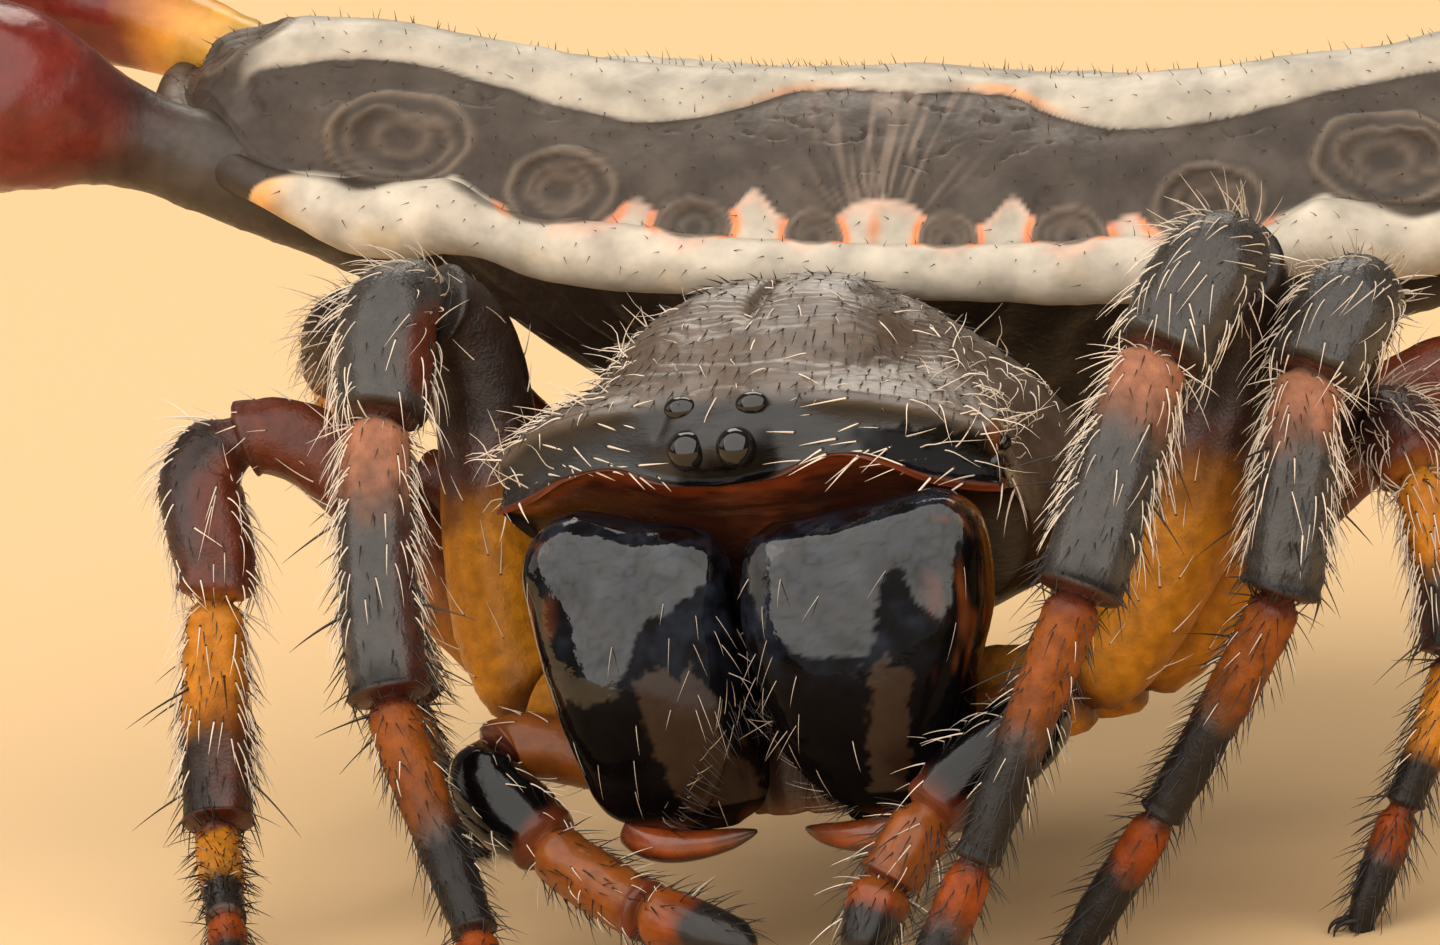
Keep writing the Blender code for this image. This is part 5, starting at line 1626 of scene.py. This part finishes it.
def build_head_hair(skin):
    """Short hairs over the whole top, long pale ones on the flanks, shoulders and lip."""
    coat = Coat("carapace_bristles", "carapace_shell")
    down = (0, -0.55, -0.85)
    coat.grow(skin, 900, 101, head_zone(0.02, 2.0), 0.10, (0.09, 0.15), 0.0056, 24, DARK_HAIR,
              0.15, 0.10, drift=down)
    coat.grow(skin, 170, 102, head_zone(0.0, 2.0), 0.16, (0.08, 0.14), 0.0058, 18, PALE_HAIR,
              0.8, 0.9, drift=down, curl=0.15, sockets=False)
    for sign in (1, -1):
        many, stiff = (95, 0.9) if sign > 0 else (170, 0.6)
        zone = head_zone(-0.3, 2.0, 0.35, 2.2, on_side(sign, flank))
        coat.grow(skin, many, 104 + sign, zone, 0.075, (0.14, 0.25), 0.0062, 42, PALE_HAIR,
                  stiff, 0.45, drift=(sign, -0.5, 0.25), curl=0.30, sockets=False)
    for sign in (1, -1):
        zone = head_zone(-0.40, 0.03, -1, 0.6, on_side(sign, shoulder))
        coat.grow(skin, 13, 106 + sign, zone, 0.12, (0.16, 0.30), 0.0085, 9, PALE_HAIR,
                  0.18, 0.18, drift=(-sign, -0.1, -0.25))
        longest = 0.32 if sign > 0 else 0.18
        zone = head_zone(-1.0, 0.0, -1, 0.9, on_side(sign, lip_zone))
        coat.grow(skin, 17, 108 + sign, zone, 0.08, (0.5 * longest, longest), 0.0085, 22, PALE_HAIR,
                  0.25, 0.22, drift=(-sign * 0.9, -0.3, -0.55))
    coat.make()


def build_chelicera_hair(side, sign, skin):
    coat = Coat(f"chelicera_{side}_bristles", "chelicera_shell")

    def front(points, normals):
        p = apply(HEAD_BACK, points)
        more_inside = 0.3 + 1.2 * (abs(p[:, 0]) < 0.5)
        return (normals[:, 1] < -0.2) * (p[:, 2] > 1.3) * (p[:, 2] < 3.0) * more_inside

    def furrow(points, normals):
        p = apply(HEAD_BACK, points)
        over = p[:, 2] - read(FURROW_LINE, abs(p[:, 0])) - 0.05
        return hill(over, 0.05) * (abs(p[:, 0]) < 0.75) * (p[:, 1] < 0.35) * (normals[:, 1] < 0.1)

    def gap_side(points, normals):
        p = apply(HEAD_BACK, points)
        return (abs(p[:, 0] - 0.15) < 0.38) * (p[:, 2] > 1.8) * (p[:, 2] < 2.6) * (normals[:, 1] < 0.1)

    rows = (
        (16, 110, front, 0.22, (0.14, 0.24), 0.0032, 26, DULL_HAIR, 0.20, 0.25, (0, -0.2, -1)),
        (12, 115, gap_side, 0.10, (0.20, 0.34), 0.0032, 34, DULL_HAIR, 0.15, 0.30, (-0.5, -0.3, -0.9)),
        (46, 120, furrow, 0.045, (0.16, 0.26), 0.0036, 40, DARK_HAIR, 0.25, 0.10, (-0.7, -0.5, -0.6)),
        (18, 130, furrow, 0.09, (0.18, 0.28), 0.0032, 42, DULL_HAIR, 0.20, 0.15, (-0.6, -0.5, 0.6)),
    )
    for count, seed, *rest, drift in rows:
        coat.grow(skin, count, seed + sign, *rest, drift=mirrored(drift, sign))
    coat.make()


def leg_rows(skin, places, low, high, on_face):
    """A weight for each face of a limb, in the order of its quads."""
    points, quads = skin.arrays()[:2]
    quads = quads[quads[:, 3] >= 0]
    sides = (len(points) - 2) // len(places)
    at = places[quads[:, 0] // sides]

    def keep(face_points, normals):
        facing = smooth(0.45, 0.80, normals @ LEG_FACE)
        return ((at >= low) & (at < high)) * mix(1.0, on_face, facing)
    return keep


# Hairs of a leg: how many, from which place to which, gap, lengths, radius, lift, colour, bend,
# spread, and the share on the bare face
LEG_HAIR = (
    (170, 2.02, 2.98, 0.052, (0.16, 0.30), 0.0060, 38, PALE_HAIR, 0.60, 0.22, 0.16),
    (240, 2.02, 4.00, 0.050, (0.08, 0.13), 0.0042, 20, DARK_HAIR, 0.10, 0.15, 1.0),
    (230, 3.03, 3.72, 0.045, (0.16, 0.32), 0.0062, 32, PALE_HAIR, 0.28, 0.14, 0.07),
    (110, 3.3, 4.0, 0.06, (0.14, 0.28), 0.0058, 36, DARK_HAIR, 0.10, 0.15, 0.25),
    (60, 1.1, 2.0, 0.10, (0.16, 0.30), 0.0055, 30, PALE_HAIR, 0.20, 0.25, 1.0),
    (340, 4.03, 6.0, 0.045, (0.13, 0.28), 0.0050, 38, DARK_HAIR, 0.12, 0.18, 0.5),
    (26, 4.05, 4.7, 0.10, (0.14, 0.24), 0.0050, 30, PALE_HAIR, 0.12, 0.18, 0.2),
    (8, 3.1, 4.3, 0.25, (0.40, 0.60), 0.0090, 58, DARK_HAIR, 0.10, 0.15, 0.3),
)
PALP_HAIR = (
    (70, 0.3, 2.0, 0.07, (0.12, 0.24), 0.0052, 36, PALE_HAIR, 0.25, 0.25, 0.3),
    (170, 2.0, 3.9, 0.045, (0.14, 0.28), 0.0050, 38, DARK_HAIR, 0.15, 0.20, 0.7),
    (60, 1.6, 3.6, 0.060, (0.16, 0.28), 0.0052, 38, PALE_HAIR, 0.20, 0.25, 0.25),
)


# Hairs of this radius or finer have no socket
FINEST_WITH_SOCKET = 0.0043
LEG_SEED = 400
PALP_SEED = 700
SEED_STEP = 20


def build_leg_hair(name, skin, places, seed):
    leg = name.startswith("leg")
    coat = Coat(f"{name}_bristles", "leg_skin" if leg else "palp_skin")
    for k, row in enumerate(LEG_HAIR if leg else PALP_HAIR):
        count, low, high, gap, length, radius, lift, colour, bend, spread, on_face = row
        zone = leg_rows(skin, places, low, high, on_face)
        coat.grow(skin, count, seed + k, zone, gap, length, radius, lift, colour, bend, spread,
                  sockets=radius > FINEST_WITH_SOCKET)
    coat.make()


def build_shield_hair(skin):
    coat = Coat("shield_hairs", "shield")

    def top(points, normals):
        return (normals[:, 2] > -0.2) * 1.0

    coat.grow(skin, 1500, 301, top, 0.12, (0.05, 0.10), 0.0035, 60, DOWN_HAIR, 0.2, 0.5,
              drift=(0, -1, -0.2))
    coat.make()


# The curve of a claw from its root, as parts ahead, across and up, in mm
CLAW_PATH = ((-0.02, 0.0, 0.0), (0.13, 0.0, 0.04), (0.19, 0.01, 0.0), (0.20, 0.01, -0.066))
# How far beside the foot's middle a claw is rooted, and how high, and its first and last radius
CLAW_ROOT = (0.045, 0.075)
CLAW_RADII = (0.028, 0.006)
CLAW_ROWS = 14
CLAW_SIDES = 10


def build_claws():
    t = np.linspace(0, 1, CLAW_ROWS)
    for name, joints in LEG_JOINTS.items():
        foot = np.array(joints[6], float)
        ahead = unit((foot - np.array(joints[5])) * np.array([1, 1, 0]))
        across = np.array([-ahead[1], ahead[0], 0])
        up = np.array([0, 0, 1.0])
        skin = Skin()
        for side in (-1, 1):
            start = foot + across * CLAW_ROOT[0] * side + up * CLAW_ROOT[1]
            span = [start + ahead * a + across * b * side + up * c for a, b, c in CLAW_PATH]
            points, _, _ = tube(span, t, mix(*CLAW_RADII, t), foot - (0, 0, 3), CLAW_SIDES)
            points[..., 2] = points[..., 2].clip(min=0.002)
            skin.add(points, INK, closed=True, caps=True)
        add_dark_shine(skin_object(f"{name}_claws", skin, MATS["leg"], "leg_skin"), skin)


# Floor, lights and camera
FLOOR_REACH = 1.5
FLOOR_LOOK = {"Base Color": (0.70, 0.47, 0.24, 1.0), "Roughness": 0.9}
STUDIO_LOOK = {"Color": (0.90, 0.86, 0.80, 1.0), "Strength": 0.12}


def build_stage():
    mesh = bpy.data.meshes.new("floor")
    corners = [(x * FLOOR_REACH, y * FLOOR_REACH, 0) for x, y in ((-1, -1), (1, -1), (1, 1), (-1, 1))]
    mesh.from_pydata(corners, [], [(0, 1, 2, 3)])
    floor = bpy.data.objects.new("floor", mesh)
    bpy.context.scene.collection.objects.link(floor)
    mesh.materials.append(new_material("floor_paper", FLOOR_LOOK)[0])
    world = bpy.data.worlds.new("studio")
    world.use_nodes = True
    set_sockets(world.node_tree.nodes["Background"], STUDIO_LOOK)
    bpy.context.scene.world = world


TARGET = np.array((0.0, 0.3, 3.2))
# Softboxes: azimuth from the front and elevation in degrees, distance and size in mm, radiance
# and colour
LIGHTS = {
    "softbox": (8, 46, 130, (400, 330), 2.25, (1.0, 0.95, 0.88)),
    "fill_left": (-75, 25, 200, (100, 120), 1.0, (1.0, 0.88, 0.72)),
    "rim_back": (-160, 45, 200, (150, 110), 4.0, (1.0, 0.93, 0.82)),
}


def area_light(name, azimuth, elevation, distance, size, radiance, colour):
    """A softbox that faces the head from this azimuth, counted from -Y, and elevation."""
    a, e = math.radians(azimuth), math.radians(elevation)
    away = np.array((math.sin(a) * math.cos(e), -math.cos(a) * math.cos(e), math.sin(e)))
    light = bpy.data.lights.new(name, "AREA")
    light.shape = "RECTANGLE"
    light.size, light.size_y = size[0] * MM, size[1] * MM
    light.energy = radiance * math.pi * light.size * light.size_y
    light.color = colour
    lamp = bpy.data.objects.new(name, light)
    bpy.context.scene.collection.objects.link(lamp)
    lamp.location = to_metres(TARGET + away * distance)
    lamp.rotation_euler = Vector(away).to_track_quat("Z", "Y").to_euler()


def build_lights():
    for name, values in LIGHTS.items():
        area_light(name, *values)
    bpy.context.scene.view_settings.view_transform = "Standard"


# The camera looks down on the face from the spider's left
CAMERA_AZIMUTH = math.radians(24)
CAMERA_ELEVATION = math.radians(12)
CAMERA_ROLL = math.radians(6)
CAMERA_DISTANCE = 90.0
PIXELS_PER_MM = 150.0
IMAGE_SIZE = (1440, 945)
EYES_PIXEL = (707.0, 451.0)
SENSOR = 36.0
CLIP_RANGE = (0.001, 10.0)


def build_camera():
    level = np.array((math.cos(CAMERA_AZIMUTH), math.sin(CAMERA_AZIMUTH), 0.0))
    onward = np.array((-level[1], level[0], 0.0))
    ahead = onward * math.cos(CAMERA_ELEVATION) - (0, 0, math.sin(CAMERA_ELEVATION))
    upright = np.cross(level, ahead)
    right = level * math.cos(CAMERA_ROLL) - upright * math.sin(CAMERA_ROLL)
    up = level * math.sin(CAMERA_ROLL) + upright * math.cos(CAMERA_ROLL)
    off_x = (EYES_PIXEL[0] - IMAGE_SIZE[0] / 2) / PIXELS_PER_MM
    off_y = (IMAGE_SIZE[1] / 2 - EYES_PIXEL[1]) / PIXELS_PER_MM
    place = np.array((0, 0, EYE_HEIGHT)) - right * off_x - up * off_y - ahead * CAMERA_DISTANCE
    data = bpy.data.cameras.new("camera")
    data.sensor_width = SENSOR
    data.lens = SENSOR * CAMERA_DISTANCE * PIXELS_PER_MM / IMAGE_SIZE[0]
    data.clip_start, data.clip_end = CLIP_RANGE
    camera = bpy.data.objects.new("camera", data)
    bpy.context.scene.collection.objects.link(camera)
    matrix = np.eye(4)
    matrix[:3, 0], matrix[:3, 1], matrix[:3, 2] = right, up, -ahead
    matrix[:3, 3] = to_metres(place)
    camera.matrix_world = Matrix(matrix.tolist())
    bpy.context.scene.camera = camera


def main():
    build_camera()
    build_lights()
    build_stage()
    head = build_carapace()
    build_eyes()
    for side, sign in SIDES:
        build_chelicera_hair(side, sign, build_chelicera(side, sign))
    build_fangs()
    build_underside()
    shield = build_shield()
    build_spines()
    build_belly()
    build_spinnerets()
    for k, (name, joints) in enumerate(LEG_JOINTS.items()):
        skin, places = build_leg(name, joints)
        build_leg_hair(name, skin, places, LEG_SEED + SEED_STEP * k)
    for k, (name, joints) in enumerate(PALP_JOINTS.items()):
        skin, places = build_palp(name, joints)
        build_leg_hair(name, skin, places, PALP_SEED + SEED_STEP * k)
    build_claws()
    build_head_hair(head)
    build_shield_hair(shield)


main()
